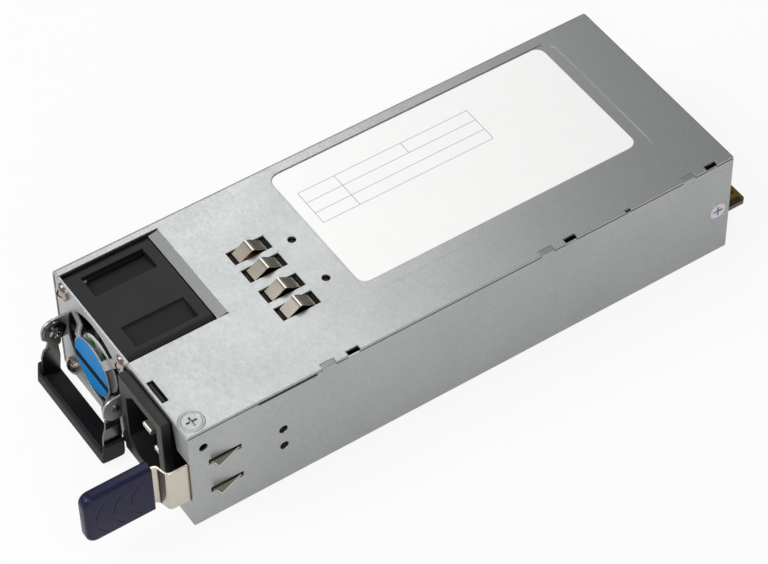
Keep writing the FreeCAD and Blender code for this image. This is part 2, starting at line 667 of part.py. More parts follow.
# Places that many pieces share.
LEFT, RIGHT = "(-case_width/2)", "(case_width/2)"
FRONT, REAR, TOP = "(-case_length/2)", "(case_length/2)", "case_height"
INNER_LEFT, INNER_RIGHT = f"({LEFT} + steel + seam)", f"({RIGHT} - steel)"
UNDER_TOP = "(case_height - steel - seam)"
FAN_X = "(-fan_offset)"
FAN_Y = f"({FRONT} + steel + seam)"
FAN_Z = "(case_height - fan_top - fan_size/2)"
DISC_FRONT = f"({FRONT} - guard_step)"
PIVOT_Y = f"({FRONT} - pivot_reach)"
BOARD_TOP = "(board_low + board_skin)"
LEAF_OUT = f"({INNER_RIGHT} - leaf_play)"
SILL_TOP = "(inlet_low + (inlet_height - inlet_body_height)/2 - 0.2)"
FLANGE_HOLE = f"({FRONT} + steel + panel_flange/2)"
WALL_TABS = (f"({FRONT} + tab_first)", f"({REAR} - tab_second)", f"({REAR} - tab_third)")
FINGERS = [f"({LEFT} + window_{nth})" for nth in ("first", "second", "third", "fourth")]


# --------------------------------------------------------------------------------------------
# Case
# --------------------------------------------------------------------------------------------
def make_chassis():
    """Folded tray: bottom, right wall, left lip and the two front flanges at the right."""
    tray = body("chassis")
    slab(tray, "XZ", FRONT, REAR, [[
        (INNER_LEFT, 0), (RIGHT, 0), (RIGHT, UNDER_TOP), (INNER_RIGHT, UNDER_TOP),
        (INNER_RIGHT, "steel"), (f"{INNER_LEFT} + steel", "steel"),
        (f"{INNER_LEFT} + steel", "lip_height"), (INNER_LEFT, "lip_height")]])
    # the lip starts behind the front panel and ends before the rear panel
    for start, end in ((f"{FRONT} - 0.1", f"{FRONT} + steel + seam"),
                       (f"{REAR} - rear_flange - seam", f"{REAR} + 0.1")):
        carve(tray, "XZ", start, end, [rectangle(
            f"{INNER_LEFT} - 0.1", "steel", f"{INNER_LEFT} + steel + 0.1", "lip_height + 0.1")])
    # two front flanges leave a gate for the latch between them
    gate_low, gate_high = "(leaf_low - gate_play)", "(leaf_high + gate_play)"
    slab(tray, "XZ", FRONT, f"{FRONT} + steel", [[
        ("flange_left + flange_slant", gate_high), (RIGHT, gate_high),
        (RIGHT, UNDER_TOP), ("flange_left", UNDER_TOP)]])
    slab(tray, "XZ", FRONT, f"{FRONT} + steel", [[
        ("sill_left", 0), (RIGHT, 0), (RIGHT, gate_low), ("flange_left", gate_low),
        ("flange_left", SILL_TOP), ("sill_left", SILL_TOP)]])
    # the upper flange returns under the cover and takes the cover screw
    slab(tray, "XY", f"{UNDER_TOP} - steel", UNDER_TOP, [rectangle(
        "flange_left", FRONT, RIGHT, "-cover_screw_y + 4")])
    soften(tray, "bend", edge_at("y", x=RIGHT, z="0"))
    # wall tabs fold inwards, level with the cover
    for start in WALL_TABS:
        slab(tray, "XZ", start, f"{start} + tab_run", [[
            (INNER_RIGHT, f"{UNDER_TOP} - steel"), (RIGHT, f"{UNDER_TOP} - steel"),
            (RIGHT, TOP), (f"{RIGHT} - notch_in + seam", TOP),
            (f"{RIGHT} - notch_in + seam", f"{TOP} - steel"), (INNER_RIGHT, f"{TOP} - steel")]])
    slots = [rectangle("-barb_front - slot_play", f"{z} - leaf_skin/2 - slot_play",
                       "-barb_back + slot_play", f"{z} + leaf_skin/2 + slot_play")
             for z in ("barb_low", "barb_high")]
    relief = rectangle("-relief_front", f"{UNDER_TOP} - relief_drop", "-relief_back", TOP)
    carve(tray, "YZ", f"{INNER_RIGHT} - 0.1", f"{RIGHT} + 0.1", [relief] + slots,
          [("-side_hole_y", "side_hole_z", "side_hole_radius"),
           ("-rivet_back", "rivet_low", "rivet_radius"),
           ("-rivet_back", "rivet_high", "rivet_radius")])
    countersink(tray, "YZ", RIGHT, "rear_screw_y", "rear_screw_z")
    carve(tray, "XY", f"{UNDER_TOP} - steel - 0.1", f"{UNDER_TOP} + 0.1", [],
          [("cover_screw_x", "-cover_screw_y", "screw_radius")])
    carve(tray, "XY", -0.1, "steel + 0.1", [],
          [(x, y, "spigot_radius") for x in ("-standoff_x", "standoff_x")
           for y in ("-standoff_front", "standoff_back")])
    return tray


def make_rear_panel():
    """Rear wall with two return flanges, a card slot and rows of hexagonal vents."""
    panel = body("rear_panel")
    right = f"({INNER_RIGHT} - seam)"
    slab(panel, "XZ", f"{REAR} - steel", REAR, [rectangle(
        INNER_LEFT, "steel", right, UNDER_TOP)])
    for inner in (INNER_LEFT, f"({right} - steel)"):
        slab(panel, "YZ", inner, f"{inner} + steel", [rectangle(
            f"{REAR} - rear_flange", "steel", f"{REAR} - steel/2", f"{UNDER_TOP} - 2")])
    soften(panel, "bend", either(edge_at("z", x=INNER_LEFT, y=REAR),
                                 edge_at("z", x=right, y=REAR)))
    for inner in (INNER_LEFT, f"({right} - steel)"):
        carve(panel, "YZ", f"{inner} - 0.01", f"{inner} + steel + 0.01", [],
              [("rear_screw_y", "rear_screw_z", "screw_radius")])
    play = "card_slot_play"
    back, front = f"{REAR} + 0.1", f"{REAR} - steel - 0.1"
    carve(panel, "XZ", front, back, [rectangle(
        f"-board_half - {play}", f"board_low - {play}",
        f"board_half + {play}", f"{BOARD_TOP} + {play}")])
    rows = [("vent_low", 11)] + [(f"vent_high + {row}*vent_pitch*sin(60)", 11 - row % 2)
                                 for row in range(4)]
    for height, count in rows:
        vent = carve(panel, "XZ", front, back,
                     [hexagon(f"-{(count - 1) / 2}*vent_pitch", height, "vent_flat")])
        repeat(panel, vent, count, "vent_pitch")
    return panel


def make_top_cover():
    """Folded cover: top sheet and left wall, with the fan cut-out, windows and label recess."""
    cover = body("top_cover")
    edge = f"{RIGHT} - seam"
    slab(cover, "XZ", FRONT, REAR, [[
        (LEFT, 0), (f"{LEFT} + steel", 0), (f"{LEFT} + steel", f"{TOP} - steel"),
        (edge, f"{TOP} - steel"), (edge, TOP), (LEFT, TOP)]])
    cut_left = f"({FAN_X} - fan_size/2 - cutout_play)"
    cut_right = f"({FAN_X} + fan_size/2 + cutout_play)"
    # front lip over the inlet
    slab(cover, "XZ", FRONT, f"{FRONT} + steel", [rectangle(
        "panel_right + 0.4", f"{TOP} - lip_drop", "flange_left - 0.3", f"{TOP} - steel/2")])
    soften(cover, "bend", edge_at("y", x=LEFT, z=TOP))
    soften(cover, "bend/2", either(edge_at("x", y=FRONT, z=TOP), edge_at("x", y=REAR, z=TOP)))
    carve(cover, "XY", f"{TOP} - steel - 0.1", f"{TOP} + 0.1",
          [rectangle(cut_left, f"{FRONT} - 1", cut_right, "-cutout_back")])
    # pressed ramp that meets the fan
    slab(cover, "YZ", f"{cut_left} + 0.5", f"{cut_right} - 0.5", [[
        ("-cutout_back + 0.5", f"{TOP} - steel"), ("-cutout_back + 0.5", TOP),
        ("-cutout_back", TOP), ("-cutout_back - ramp_length", f"{TOP} - ramp_drop"),
        ("-cutout_back - ramp_length", f"{TOP} - ramp_drop - steel"),
        ("-cutout_back", f"{TOP} - steel")]])
    # label recess
    carve(cover, "XY", f"{TOP} - recess_sink", f"{TOP} + 0.1",
          [rounded("-label_left - 0.5", "-label_front - 0.5", "recess_right", "recess_back",
                   "label_corner + 1")])
    notches = [rectangle(f"{RIGHT} - notch_in", f"{start} - seam", f"{RIGHT} + 1",
                         f"{start} + tab_run + seam") for start in WALL_TABS]
    notches += [rectangle(f"{RIGHT} - notch_in", f"{start} + tab_run + key_gap", f"{RIGHT} + 1",
                          f"{start} + tab_run + 2*key_gap") for start in WALL_TABS]
    notches.append(rectangle(f"{RIGHT} - notch_in/2", 53.6, f"{RIGHT} + 1", 55.5))
    windows = [rectangle(f"{x} - window_width/2", "-window_front",
                         f"{x} + window_width/2", "-window_back") for x in FINGERS]
    hook = rectangle("hook_left", f"{FRONT} + steel + 0.05", "hook_right",
                     f"{FRONT} + steel + 0.05 + hook_depth")
    carve(cover, "XY", f"{TOP} - steel - 0.1", f"{TOP} + 0.1", notches + windows + [hook],
          [("-8.2", "-30.5", "spot_hole"), ("9.4", "-30.4", "spot_hole")])
    countersink(cover, "XY", TOP, "cover_screw_x", "-cover_screw_y")
    countersink(cover, "YZ", LEFT, "rear_screw_y", "rear_screw_z", True)
    countersink(cover, "YZ", LEFT, FLANGE_HOLE, "fan_size/2", True)
    return cover


def rounded(left, low, right, high, radius):
    """A rectangle with round corners, as an outline."""
    return [(f"({left}) + {radius}", low), (f"({right}) - ({radius})", low, radius),
            (right, f"({low}) + {radius}"), (right, f"({high}) - ({radius})", radius),
            (f"({right}) - ({radius})", high), (f"({left}) + {radius}", high, radius),
            (left, f"({high}) - ({radius})"), (left, f"({low}) + {radius}", radius)]


def make_front_panel():
    """Plate in front of the fan. The finger guard is stamped in it: four spokes step out to a
    disc. Two ears fold forward for the handle. The body's own origin lies on the fan's axis."""
    panel = body("front_panel", (FAN_X, 0, FAN_Z))
    low, high = f"steel + seam - {FAN_Z}", f"{TOP} - seam - {FAN_Z}"
    left, right = f"{INNER_LEFT} - {FAN_X}", f"panel_right - {FAN_X}"
    back = f"{FRONT} + steel"
    under, open_half = f"{UNDER_TOP} - {FAN_Z}", "(fan_size/2 + cutout_play - 2*seam)"
    slab(panel, "XZ", FRONT, back, [[
        (left, low), (right, low), (right, under), (open_half, under), (open_half, high),
        (f"-{open_half}", high), (f"-{open_half}", under), (left, under)]])
    slab(panel, "YZ", left, f"{left} + steel", [rectangle(
        FRONT, f"{low} + 6", f"{back} + panel_flange", f"{high} - 2")])
    soften(panel, "bend", edge_at("z", x=left, y=FRONT))
    holes = [(f"{sx}*fan_holes/2", f"{sz}*fan_holes/2", "screw_radius + seam")
             for sx in (-1, 1) for sz in (-1, 1)]
    carve(panel, "XZ", f"{FRONT} - 0.1", f"{back} + 0.1", [], [(0, 0, "guard_radius")] + holes)
    carve(panel, "YZ", f"{left} - 0.1", f"{left} + steel + 0.1", [],
          [(FLANGE_HOLE, f"fan_size/2 - {FAN_Z}", "screw_radius")])
    # the disc, and one spoke in section that steps out to it; then four spokes round the axis
    slab(panel, "XZ", DISC_FRONT, f"{DISC_FRONT} + steel", [], [(0, 0, "guard_disc")])
    sketch = sketch_on(panel, "YZ", 0, [[
        (DISC_FRONT, "guard_disc - 2"), (f"{DISC_FRONT} + steel", "guard_disc - 2"),
        (f"{DISC_FRONT} + steel", "guard_disc + 0.5"), (back, "guard_disc + 2.4"),
        (back, "guard_radius + 0.8"), (FRONT, "guard_radius + 0.8"),
        (FRONT, "guard_disc + 2.9"), (DISC_FRONT, "guard_disc + 0.9")]])
    sketch.AttachmentOffset = FreeCAD.Placement(V(), FreeCAD.Rotation(V(1, 0, 0), 45))
    spoke = panel.newObject("PartDesign::Pad", "front_panel_spoke")
    spoke.Profile = sketch
    spoke.SideType = "Symmetric"
    bind(spoke, "Length", "spoke_width")
    turn_round(panel, spoke, 4)
    panel_ears(panel)
    return panel


def panel_ears(panel):
    """Two ears folded forward, with a round head about the handle's pivot."""
    y, z = PIVOT_Y, f"(pivot_height - {FAN_Z})"
    middle = f"(-handle_shift - {FAN_X})"
    spans = ((f"{middle} - ear_span", f"{middle} - ear_span + ear_skin"),
             (f"{middle} + ear_span - ear_skin", f"{middle} + ear_span"))
    for start, end in spans:
        slab(panel, "YZ", start, end, [[
            (f"{FRONT} + steel/2", f"{z} - ear_below"), (f"{FRONT} + steel/2", f"{z} + eye_radius"),
            (y, f"{z} + eye_radius", "eye_radius"), (f"{y} - eye_radius", z),
            (f"{y} - eye_radius", f"{z} - ear_below + ear_cut"),
            (f"{y} - eye_radius + ear_cut", f"{z} - ear_below")]])
        carve(panel, "YZ", f"{start} - 0.1", f"{end} + 0.1", [], [(y, z, "pivot_radius")])


# --------------------------------------------------------------------------------------------
# Screws and rivets
# --------------------------------------------------------------------------------------------
TURNS = {"+z": FreeCAD.Rotation(), "-y": FreeCAD.Rotation(V(1, 0, 0), 90),
         "+x": FreeCAD.Rotation(V(0, 1, 0), 90), "-x": FreeCAD.Rotation(V(0, 1, 0), -90)}


def screw(name, at, way, head, height, shank, length, flat=False):
    """A cross-recess screw whose head's seat, or flat face, lies at a point."""
    owner = body(name)
    owner.Placement.Rotation = TURNS[way]
    put(owner, at)
    low = f"-({length})"
    if flat:
        top = "0"
        outline = [(0, low), (shank, low), (shank, f"-({height})"), (head, 0), (0, 0)]
    else:
        top = height
        dome = f"(({head})^2 + (0.6*{height})^2)/(1.2*{height})"
        outline = [(0, low), (shank, low), (shank, 0), (head, 0),
                   (head, f"0.4*({height})", dome), (0, height)]
    revolve(owner, "XZ", "Z", 360, [outline])
    arm, half = f"0.62*({head})", "cross_width/2"
    carve(owner, "XY", f"{top} - cross_depth*({head})/screw_head", f"{top} + 0.1", [[
        (half, half), (half, arm), (f"-{half}", arm), (f"-{half}", half), (f"-{arm}", half),
        (f"-{arm}", f"-{half}"), (f"-{half}", f"-{half}"), (f"-{half}", f"-{arm}"),
        (half, f"-{arm}"), (half, f"-{half}"), (arm, f"-{half}"), (arm, half)]])
    return owner


def make_screws():
    """The four kinds of screw; each kind is one node."""
    nodes = {}
    nodes["cover_screw"] = screw(
        "cover_screw", ("cover_screw_x", "-cover_screw_y", TOP), "+z",
        "screw_head", "flat_height", "screw_radius", "case_screw_length", True)
    places = ((RIGHT, "rear_screw_y", "rear_screw_z", "+x"),
              (LEFT, "rear_screw_y", "rear_screw_z", "-x"),
              (LEFT, FLANGE_HOLE, "fan_size/2", "-x"))
    nodes["case_screws"] = group("case_screws", [
        screw(f"case_screw_{i}", place[:3], place[3], "screw_head", "flat_height",
              "screw_radius", "case_screw_length", True) for i, place in enumerate(places)])
    nodes["fan_screws"] = group("fan_screws", [
        screw(f"fan_screw_{i}", (f"{FAN_X} + {sx}*fan_holes/2", FRONT, f"{FAN_Z} + {sz}*fan_holes/2"),
              "-y", "screw_head", "screw_head_height", "screw_radius", "screw_length")
        for i, (sx, sz) in enumerate(((-1, -1), (-1, 1), (1, -1), (1, 1)))])
    nodes["board_screws"] = group("board_screws", [
        screw(f"board_screw_{i}", (f"{sx}*standoff_x", y, BOARD_TOP), "+z", "screw_head",
              "screw_head_height", "screw_radius", "screw_length")
        for i, (sx, y) in enumerate(((-1, "-standoff_front"), (1, "-standoff_front"),
                                     (-1, "standoff_back"), (1, "standoff_back")))])
    reach = "ear_span - ear_skin - 2*ear_play - ear_skin"
    length = "2*ear_skin + 2*ear_play + 0.35"
    nodes["handle_screws"] = group("handle_screws", [
        screw(f"handle_screw_{i}", (f"-handle_shift + {side}*({reach})", PIVOT_Y, "pivot_height"),
              way, "pivot_head", "pivot_head_height", "pivot_radius", length)
        for i, (side, way) in enumerate(((-1, "+x"), (1, "-x")))])
    return nodes


# --------------------------------------------------------------------------------------------
# Fan. Its bodies' own origins lie on the fan's axis.
# --------------------------------------------------------------------------------------------
CUP_Y = f"({FAN_Y} + cup_inset)"
HUB_Y = f"({CUP_Y} + strut_depth + hub_gap)"
HUB_END = f"({HUB_Y} + hub_length)"


def fan_body(name):
    return body(name, (FAN_X, 0, FAN_Z))


def make_fan_frame():
    """Square housing with a round duct, four struts and the cup of the motor."""
    frame = fan_body("fan_frame")
    half, end = "fan_size/2", f"{FAN_Y} + fan_depth"
    slab(frame, "XZ", FAN_Y, end, [rounded(f"-{half}", f"-{half}", half, half, "fan_corner")],
         [(0, 0, "duct_radius")])
    holes = [(f"{sx}*fan_holes/2", f"{sz}*fan_holes/2", "screw_radius")
             for sx in (-1, 1) for sz in (-1, 1)]
    carve(frame, "XZ", f"{FAN_Y} - 0.1", f"{end} + 0.1", [], holes)
    # sloping pockets in the top
    middle = f"{FAN_Y} + fan_depth/2 + 0.6"
    for side in (-1, 1):
        carve(frame, "XZ", f"{middle} - pocket_length/2", f"{middle} + pocket_length/2", [[
            (f"{side}*pocket_near", f"{half} + 0.1"), (f"{side}*pocket_near", f"{half} - pocket_shallow"),
            (f"{side}*pocket_far", f"{half} - pocket_deep"), (f"{side}*pocket_far", f"{half} + 0.1")]])
    slab(frame, "XZ", CUP_Y, f"{CUP_Y} + strut_depth", [], [(0, 0, "cup_radius")])
    strut = slab(frame, "XZ", CUP_Y, f"{CUP_Y} + strut_depth", [rectangle(
        "cup_radius - 1", "-strut_width/2", "duct_radius + 0.6", "strut_width/2")])
    turn_round(frame, strut, 4)
    # bearing tube behind the cup's floor
    slab(frame, "XZ", f"{CUP_Y} + cup_floor", f"{HUB_Y} + stator_length + 2", [],
         [(0, 0, "bearing_radius")])
    carve(frame, "XZ", f"{CUP_Y} + cup_floor", f"{HUB_Y} + stator_length + 2.1", [],
          [(0, 0, "shaft_radius + shaft_play")])
    return frame


def make_rotor():
    """Impeller: a hub open to the front, and twisted blades round it."""
    rotor = fan_body("fan_rotor")
    slab(rotor, "XZ", HUB_Y, HUB_END, [], [(0, 0, "hub_radius")])
    soften(rotor, "hub_wall", lambda edge: isinstance(edge.Curve, Part.Circle)
           and abs(edge.CenterOfMass.y - num(HUB_END)) < 0.01)
    carve(rotor, "XZ", f"{HUB_Y} - 0.1", f"{HUB_END} - 2*hub_wall", [],
          [(0, 0, "hub_radius - hub_wall")])
    carve(rotor, "XZ", f"{HUB_Y} - 0.1", f"{HUB_END} + 0.1", [], [(0, 0, "shaft_radius")])
    start = f"({HUB_Y} + 1)"
    sections = []
    for radius, sweep, rise in (("hub_radius - hub_wall/2", "0.20", "1.35"),
                                ("blade_tip + 0.8", "0.40", "1.15")):
        across, skin = f"{sweep}*blade_chord", f"{rise}*blade_skin"
        sections.append(sketch_on(rotor, "XY", radius, [[
            (f"-{across}", start, "1.6*blade_chord"), (across, f"{start} + blade_chord - {skin}"),
            (across, f"{start} + blade_chord", "-1.6*blade_chord"), (f"-{across}", f"{start} + {skin}")]]))
    blade = rotor.newObject("PartDesign::AdditiveLoft", "fan_rotor_blade")
    blade.Profile = sections[0]
    blade.Sections = [sections[1]]
    turn_round(rotor, blade, "blade_count")
    carve(rotor, "XZ", HUB_Y, HUB_END, [], [(0, 0, "blade_tip"), (0, 0, "fan_size")])
    return rotor


def make_fan_pieces():
    """Shaft, motor coils and the two round labels."""
    shaft = fan_body("fan_shaft")
    slab(shaft, "XZ", f"{CUP_Y} + cup_floor + 0.4", HUB_END, [], [(0, 0, "shaft_radius")])
    motor = fan_body("fan_motor")
    start = f"({CUP_Y} + strut_depth)"
    slab(motor, "XZ", start, f"{start} + stator_length", [],
         [(0, 0, "stator_radius"), (0, 0, "bearing_radius")])
    gap = carve(motor, "XZ", f"{start} - 0.1", f"{start} + stator_length + 0.1",
                [rectangle("bearing_radius + 1.4", -0.5, "stator_radius + 0.1", 0.5)])
    turn_round(motor, gap, 4)
    hub_label = fan_body("fan_label")
    slab(hub_label, "XZ", f"{CUP_Y} - label_skin", CUP_Y, [], [(0, 0, "hub_label_radius")])
    disc_label = fan_body("guard_disc_label")
    slab(disc_label, "XZ", f"{DISC_FRONT} - label_skin", DISC_FRONT, [],
         [(0, 0, "disc_label_radius")])
    return {"fan_shaft": shaft, "fan_motor": motor, "fan_label": hub_label,
            "guard_disc_label": disc_label}


# --------------------------------------------------------------------------------------------
# Mains inlet
# --------------------------------------------------------------------------------------------
INLET_X = "(inlet_left + inlet_width/2)"
INLET_Z = "(inlet_low + inlet_height/2)"
BEZEL_Y = f"({FRONT} - seam - bezel_depth)"
BODY_END = f"({FRONT} + inlet_body_depth)"


def make_inlet():
    """Upright mains inlet. The body's own origin lies at the middle of its socket."""
    housing = body("inlet_housing", (INLET_X, 0, INLET_Z))
    wide, tall = "inlet_body_width/2", "inlet_body_height/2"
    slab(housing, "XZ", BEZEL_Y, f"{FRONT} - seam", [rectangle(
        "-inlet_width/2", "-inlet_height/2", "inlet_width/2", "inlet_height/2")])
    slab(housing, "XZ", f"{FRONT} - seam - 0.5", BODY_END,
         [rectangle(f"-{wide}", f"-{tall}", wide, tall)])
    half, key, top = "socket_width/2", "socket_key", "socket_height/2"
    carve(housing, "XZ", f"{BEZEL_Y} - 0.1", f"{BEZEL_Y} + socket_depth", [[
        (f"-{half} + {key}", f"-{top}"), (f"{half} - 1.5", f"-{top}", 1.5), (half, f"-{top} + 1.5"),
        (half, f"{top} - 1.5", 1.5), (f"{half} - 1.5", top), (f"-{half} + {key}", top),
        (f"-{half}", f"{top} - {key}"), (f"-{half}", f"-{top} + {key}")]])
    # hook that snaps into the window of the cover
    rise = f"({TOP} - {INLET_Z} - 0.3)"
    hook = f"({FRONT} + steel + 0.4)"
    slab(housing, "YZ", f"hook_left + 0.4 - {INLET_X}", f"hook_right - 0.4 - {INLET_X}", [[
        (hook, f"{tall} - 0.5"), (f"{hook} + 4", f"{tall} - 0.5"), (f"{hook} + 0.9", rise),
        (hook, rise)]])
    carve(housing, "XZ", f"{BEZEL_Y} + socket_depth - 0.1", f"{BODY_END} + 0.1", blades())
    return housing


def blades():
    """Outlines of the three blades: earth to the left, live and neutral to the right."""
    wide, thick = "blade_wide/2", "blade_thick/2"
    spots = (("-blade_stagger", 0), ("blade_stagger", "blade_pitch"),
             ("blade_stagger", "-blade_pitch"))
    return [rectangle(f"{u} - {wide}", f"{v} - {thick}", f"{u} + {wide}", f"{v} + {thick}")
            for u, v in spots]


def make_inlet_pins():
    """Three flat blades; the earth blade stands furthest out."""
    pins = body("inlet_pins", (INLET_X, 0, INLET_Z))
    earth, live, neutral = blades()
    tip, tail = f"{BEZEL_Y} + blade_recess", f"{BODY_END} + blade_tail"
    slab(pins, "XZ", tip, tail, [earth])
    slab(pins, "XZ", f"{tip} + earth_lead", tail, [live, neutral])
    soften(pins, "blade_thick/3", lambda edge: edge.Length > num("blade_thick") + 0.1
           and edge.Length < num("blade_wide") + 0.1 and edge.CenterOfMass.y < num(FRONT)
           and abs(edge.Vertexes[0].Point.x - edge.Vertexes[1].Point.x) > 0.1)
    return pins


# --------------------------------------------------------------------------------------------
# Handle. Its bodies' own origins lie on the pivot.
# --------------------------------------------------------------------------------------------
def handle_body(name):
    return body(name, ("-handle_shift", PIVOT_Y, "pivot_height"))


ARM_OUTLINE = [
    ("arm_eye*cos(-65)", "arm_eye*sin(-65)", "arm_eye", True),
    ("arm_eye*cos(-135)", "arm_eye*sin(-135)"), ("-2.9", "1.1 - neck_drop"), ("-4.8", "-9.7"),
    ("-5.3", "0.9 - arm_drop"), ("0.4", "-arm_drop"), ("1.1", "-11.3"), ("0.9", "-2 - neck_drop"),
    ("1.5", "1.1 - neck_drop")]


def make_arm(name, side):
    """A steel arm: its head lies inside the ear, and a joggle brings it out below the ear."""
    arm = handle_body(name)
    inner, outer = "(ear_span - 2*ear_skin - ear_play)", "ear_span"
    head_face, foot_face = f"({inner} + ear_skin)", f"({outer} - ear_skin)"

    def span(a, b):
        return (a, b) if side > 0 else (f"-({b})", f"-({a})")
    slab(arm, "YZ", *span(inner, outer), [ARM_OUTLINE])
    top, low = "-neck_drop", "(-neck_drop - joggle_drop)"
    carve(arm, "XZ", -9, 9, [[
        (f"{side}*{head_face}", 9), (f"{side}*{head_face}", top), (f"{side}*({outer} + 0.1)", f"{low} - 0.2"),
        (f"{side}*({outer} + 0.1)", 9)]])
    carve(arm, "XZ", -9, 9, [[
        (f"{side}*{foot_face}", "-arm_drop - 1"), (f"{side}*{foot_face}", low),
        (f"{side}*({inner} - 0.1)", f"{top} + 0.2"), (f"{side}*({inner} - 0.1)", "-arm_drop - 1")]])
    carve(arm, "YZ", *span(f"{inner} - 0.1", f"{outer} + 0.1"), [], [(0, 0, "pivot_radius + pivot_play")])
    return arm


def make_grip():
    """The bar of the handle, moulded round the feet of both arms, with a cheek at each end."""
    grip = handle_body("handle_grip")
    floor = "(grip_floor - pivot_height)"
    front, back = "(pivot_reach - grip_front)", "(pivot_reach - grip_back)"
    bar = [(front, f"{floor} + 0.4"), (f"{back} - 0.3", floor), (back, "grip_sill - pivot_height"),
           (f"{front} + 0.6", "grip_crest - pivot_height")]
    cheek = bar[:3] + [(f"{back} + 0.2", "grip_cheek - pivot_height - 0.4"),
                       (f"{front} + 0.8", "grip_cheek - pivot_height")]
    slab(grip, "YZ", "-grip_half", "grip_half", [bar])
    slab(grip, "YZ", "-grip_half", "-ear_span", [cheek])
    slab(grip, "YZ", "ear_span", "grip_half", [cheek])
    half = num("grip_half")
    soften(grip, "grip_round", lambda edge: all(abs(abs(vertex.Point.x) - half) < 0.01
                                                for vertex in edge.Vertexes))
    for side in (-1, 1):
        low, high = ("ear_span - ear_skin", "ear_span") if side > 0 else (
            "-ear_span", "ear_skin - ear_span")
        carve(grip, "YZ", low, high, [ARM_OUTLINE])
    return grip


# --------------------------------------------------------------------------------------------
# Latch
# --------------------------------------------------------------------------------------------
LEAF_IN = f"({LEAF_OUT} - leaf_skin)"
JOGGLE_Y = f"({FRONT} - leaf_joggle)"
TANG_OUT = f"({LEAF_OUT} - leaf_step)"
TAB_Y = f"({FRONT} - tab_start)"


def make_leaf():
    """Spring leaf: straight inside the wall, joggled in front of the case, and two barbs."""
    leaf = body("latch_leaf")
    tang_in, tang_end = f"({TANG_OUT} - leaf_skin)", f"({TAB_Y} - tang_length)"
    slab(leaf, "XY", "leaf_low", "leaf_high", [[
        (LEAF_IN, "-leaf_root"), (LEAF_IN, f"{JOGGLE_Y} + leaf_skin"),
        (tang_in, f"{JOGGLE_Y} + leaf_skin - 1.2"), (tang_in, tang_end), (TANG_OUT, tang_end),
        (TANG_OUT, f"{JOGGLE_Y} - 1"), (LEAF_OUT, f"{JOGGLE_Y} + 0.2"), (LEAF_OUT, "-leaf_root")]])
    near, low, high = "-leaf_root + 0.1", "barb_low - leaf_skin/2", "barb_high + leaf_skin/2"
    neck = "-leaf_waist"
    carve(leaf, "YZ", f"{tang_in} - 0.1", f"{LEAF_OUT} + 0.1", [
        rectangle(neck, "leaf_low - 0.1", near, low), rectangle(neck, high, near, "leaf_high + 0.1"),
        rectangle(f"{tang_end} - 0.1", "leaf_low - 0.1", TAB_Y, "tang_low"),
        rectangle(f"{tang_end} - 0.1", "tang_high", TAB_Y, "leaf_high + 0.1")])
    for height in ("barb_low", "barb_high"):
        slab(leaf, "XY", f"{height} - leaf_skin/2", f"{height} + leaf_skin/2", [[
            (LEAF_IN, "-barb_front"), (f"{RIGHT} + 0.1", "-barb_front"),
            (f"{RIGHT} + barb_out", "-barb_tip"), (RIGHT, "-barb_back - 0.2"),
            (LEAF_IN, "-barb_back")]])
    outer = edge_at("z", x=LEAF_OUT, y=f"{JOGGLE_Y} + 0.2")
    inner = edge_at("z", x=LEAF_IN, y=f"{JOGGLE_Y} + leaf_skin")
    soften(leaf, 0.6, either(outer, inner))
    return leaf


def make_latch_pieces():
    """Riveted foot, rivets and touch tab."""
    foot = body("latch_foot")
    start = "(-leaf_root + foot_gap)"
    slab(foot, "YZ", f"{INNER_RIGHT} - leaf_skin", INNER_RIGHT, [rounded(
        start, "barb_low - leaf_skin/2", f"{start} + foot_length", "barb_high + leaf_skin/2", 1.5)],
        [("-rivet_back", "rivet_low", "rivet_radius"), ("-rivet_back", "rivet_high", "rivet_radius")])
    head = f"({INNER_RIGHT} - leaf_skin)"
    rivets = group("latch_rivets", [
        fuse(f"latch_rivet_{height}",
             rod(f"shank_{height}", "rivet_radius", (head, "-rivet_back", height),
                 f"{RIGHT} - rivet_sink - {head}", "x"),
             cone(f"head_{height}", "1.2*rivet_radius", "1.7*rivet_radius",
                  (f"{head} - 0.8", "-rivet_back", height), 0.8, "x"))
        for height in ("rivet_low", "rivet_high")])
    tab = body("latch_tab")
    outer = f"({TANG_OUT} + tab_over)"
    end = f"({TAB_Y} - tab_length)"
    slab(tab, "YZ", f"{outer} - tab_thick", outer,
         [rounded(end, "tab_low", TAB_Y, "tab_high", "tab_corner")])
    soften(tab, "tab_edge", lambda edge: edge.CenterOfMass.y < num(TAB_Y) - 0.05 and (
        abs(edge.CenterOfMass.x - num(outer)) < 0.01
        or abs(edge.CenterOfMass.x - num(outer) + num("tab_thick")) < 0.01))
    carve(tab, "YZ", f"{TANG_OUT} - leaf_skin", TANG_OUT, [rectangle(
        f"{TAB_Y} - tang_length", "tang_low", f"{TAB_Y} + 0.1", "tang_high")])
    crescents = []
    for place in (-1, 0, 1):
        u, v = f"{TAB_Y} - tab_length/2 + {place}*groove_pitch", "(tab_low + tab_high)/2 - 0.6"
        low, high = f"{v} - groove_height/2", f"{v} + groove_height/2"
        crescents.append([(u, low, "-1.35*groove_height"), (u, high, "0.82*groove_height")])
    carve(tab, "YZ", f"{outer} - groove_sink", f"{outer} + 0.1", crescents)
    return {"latch_foot": foot, "latch_rivets": rivets, "latch_tab": tab}


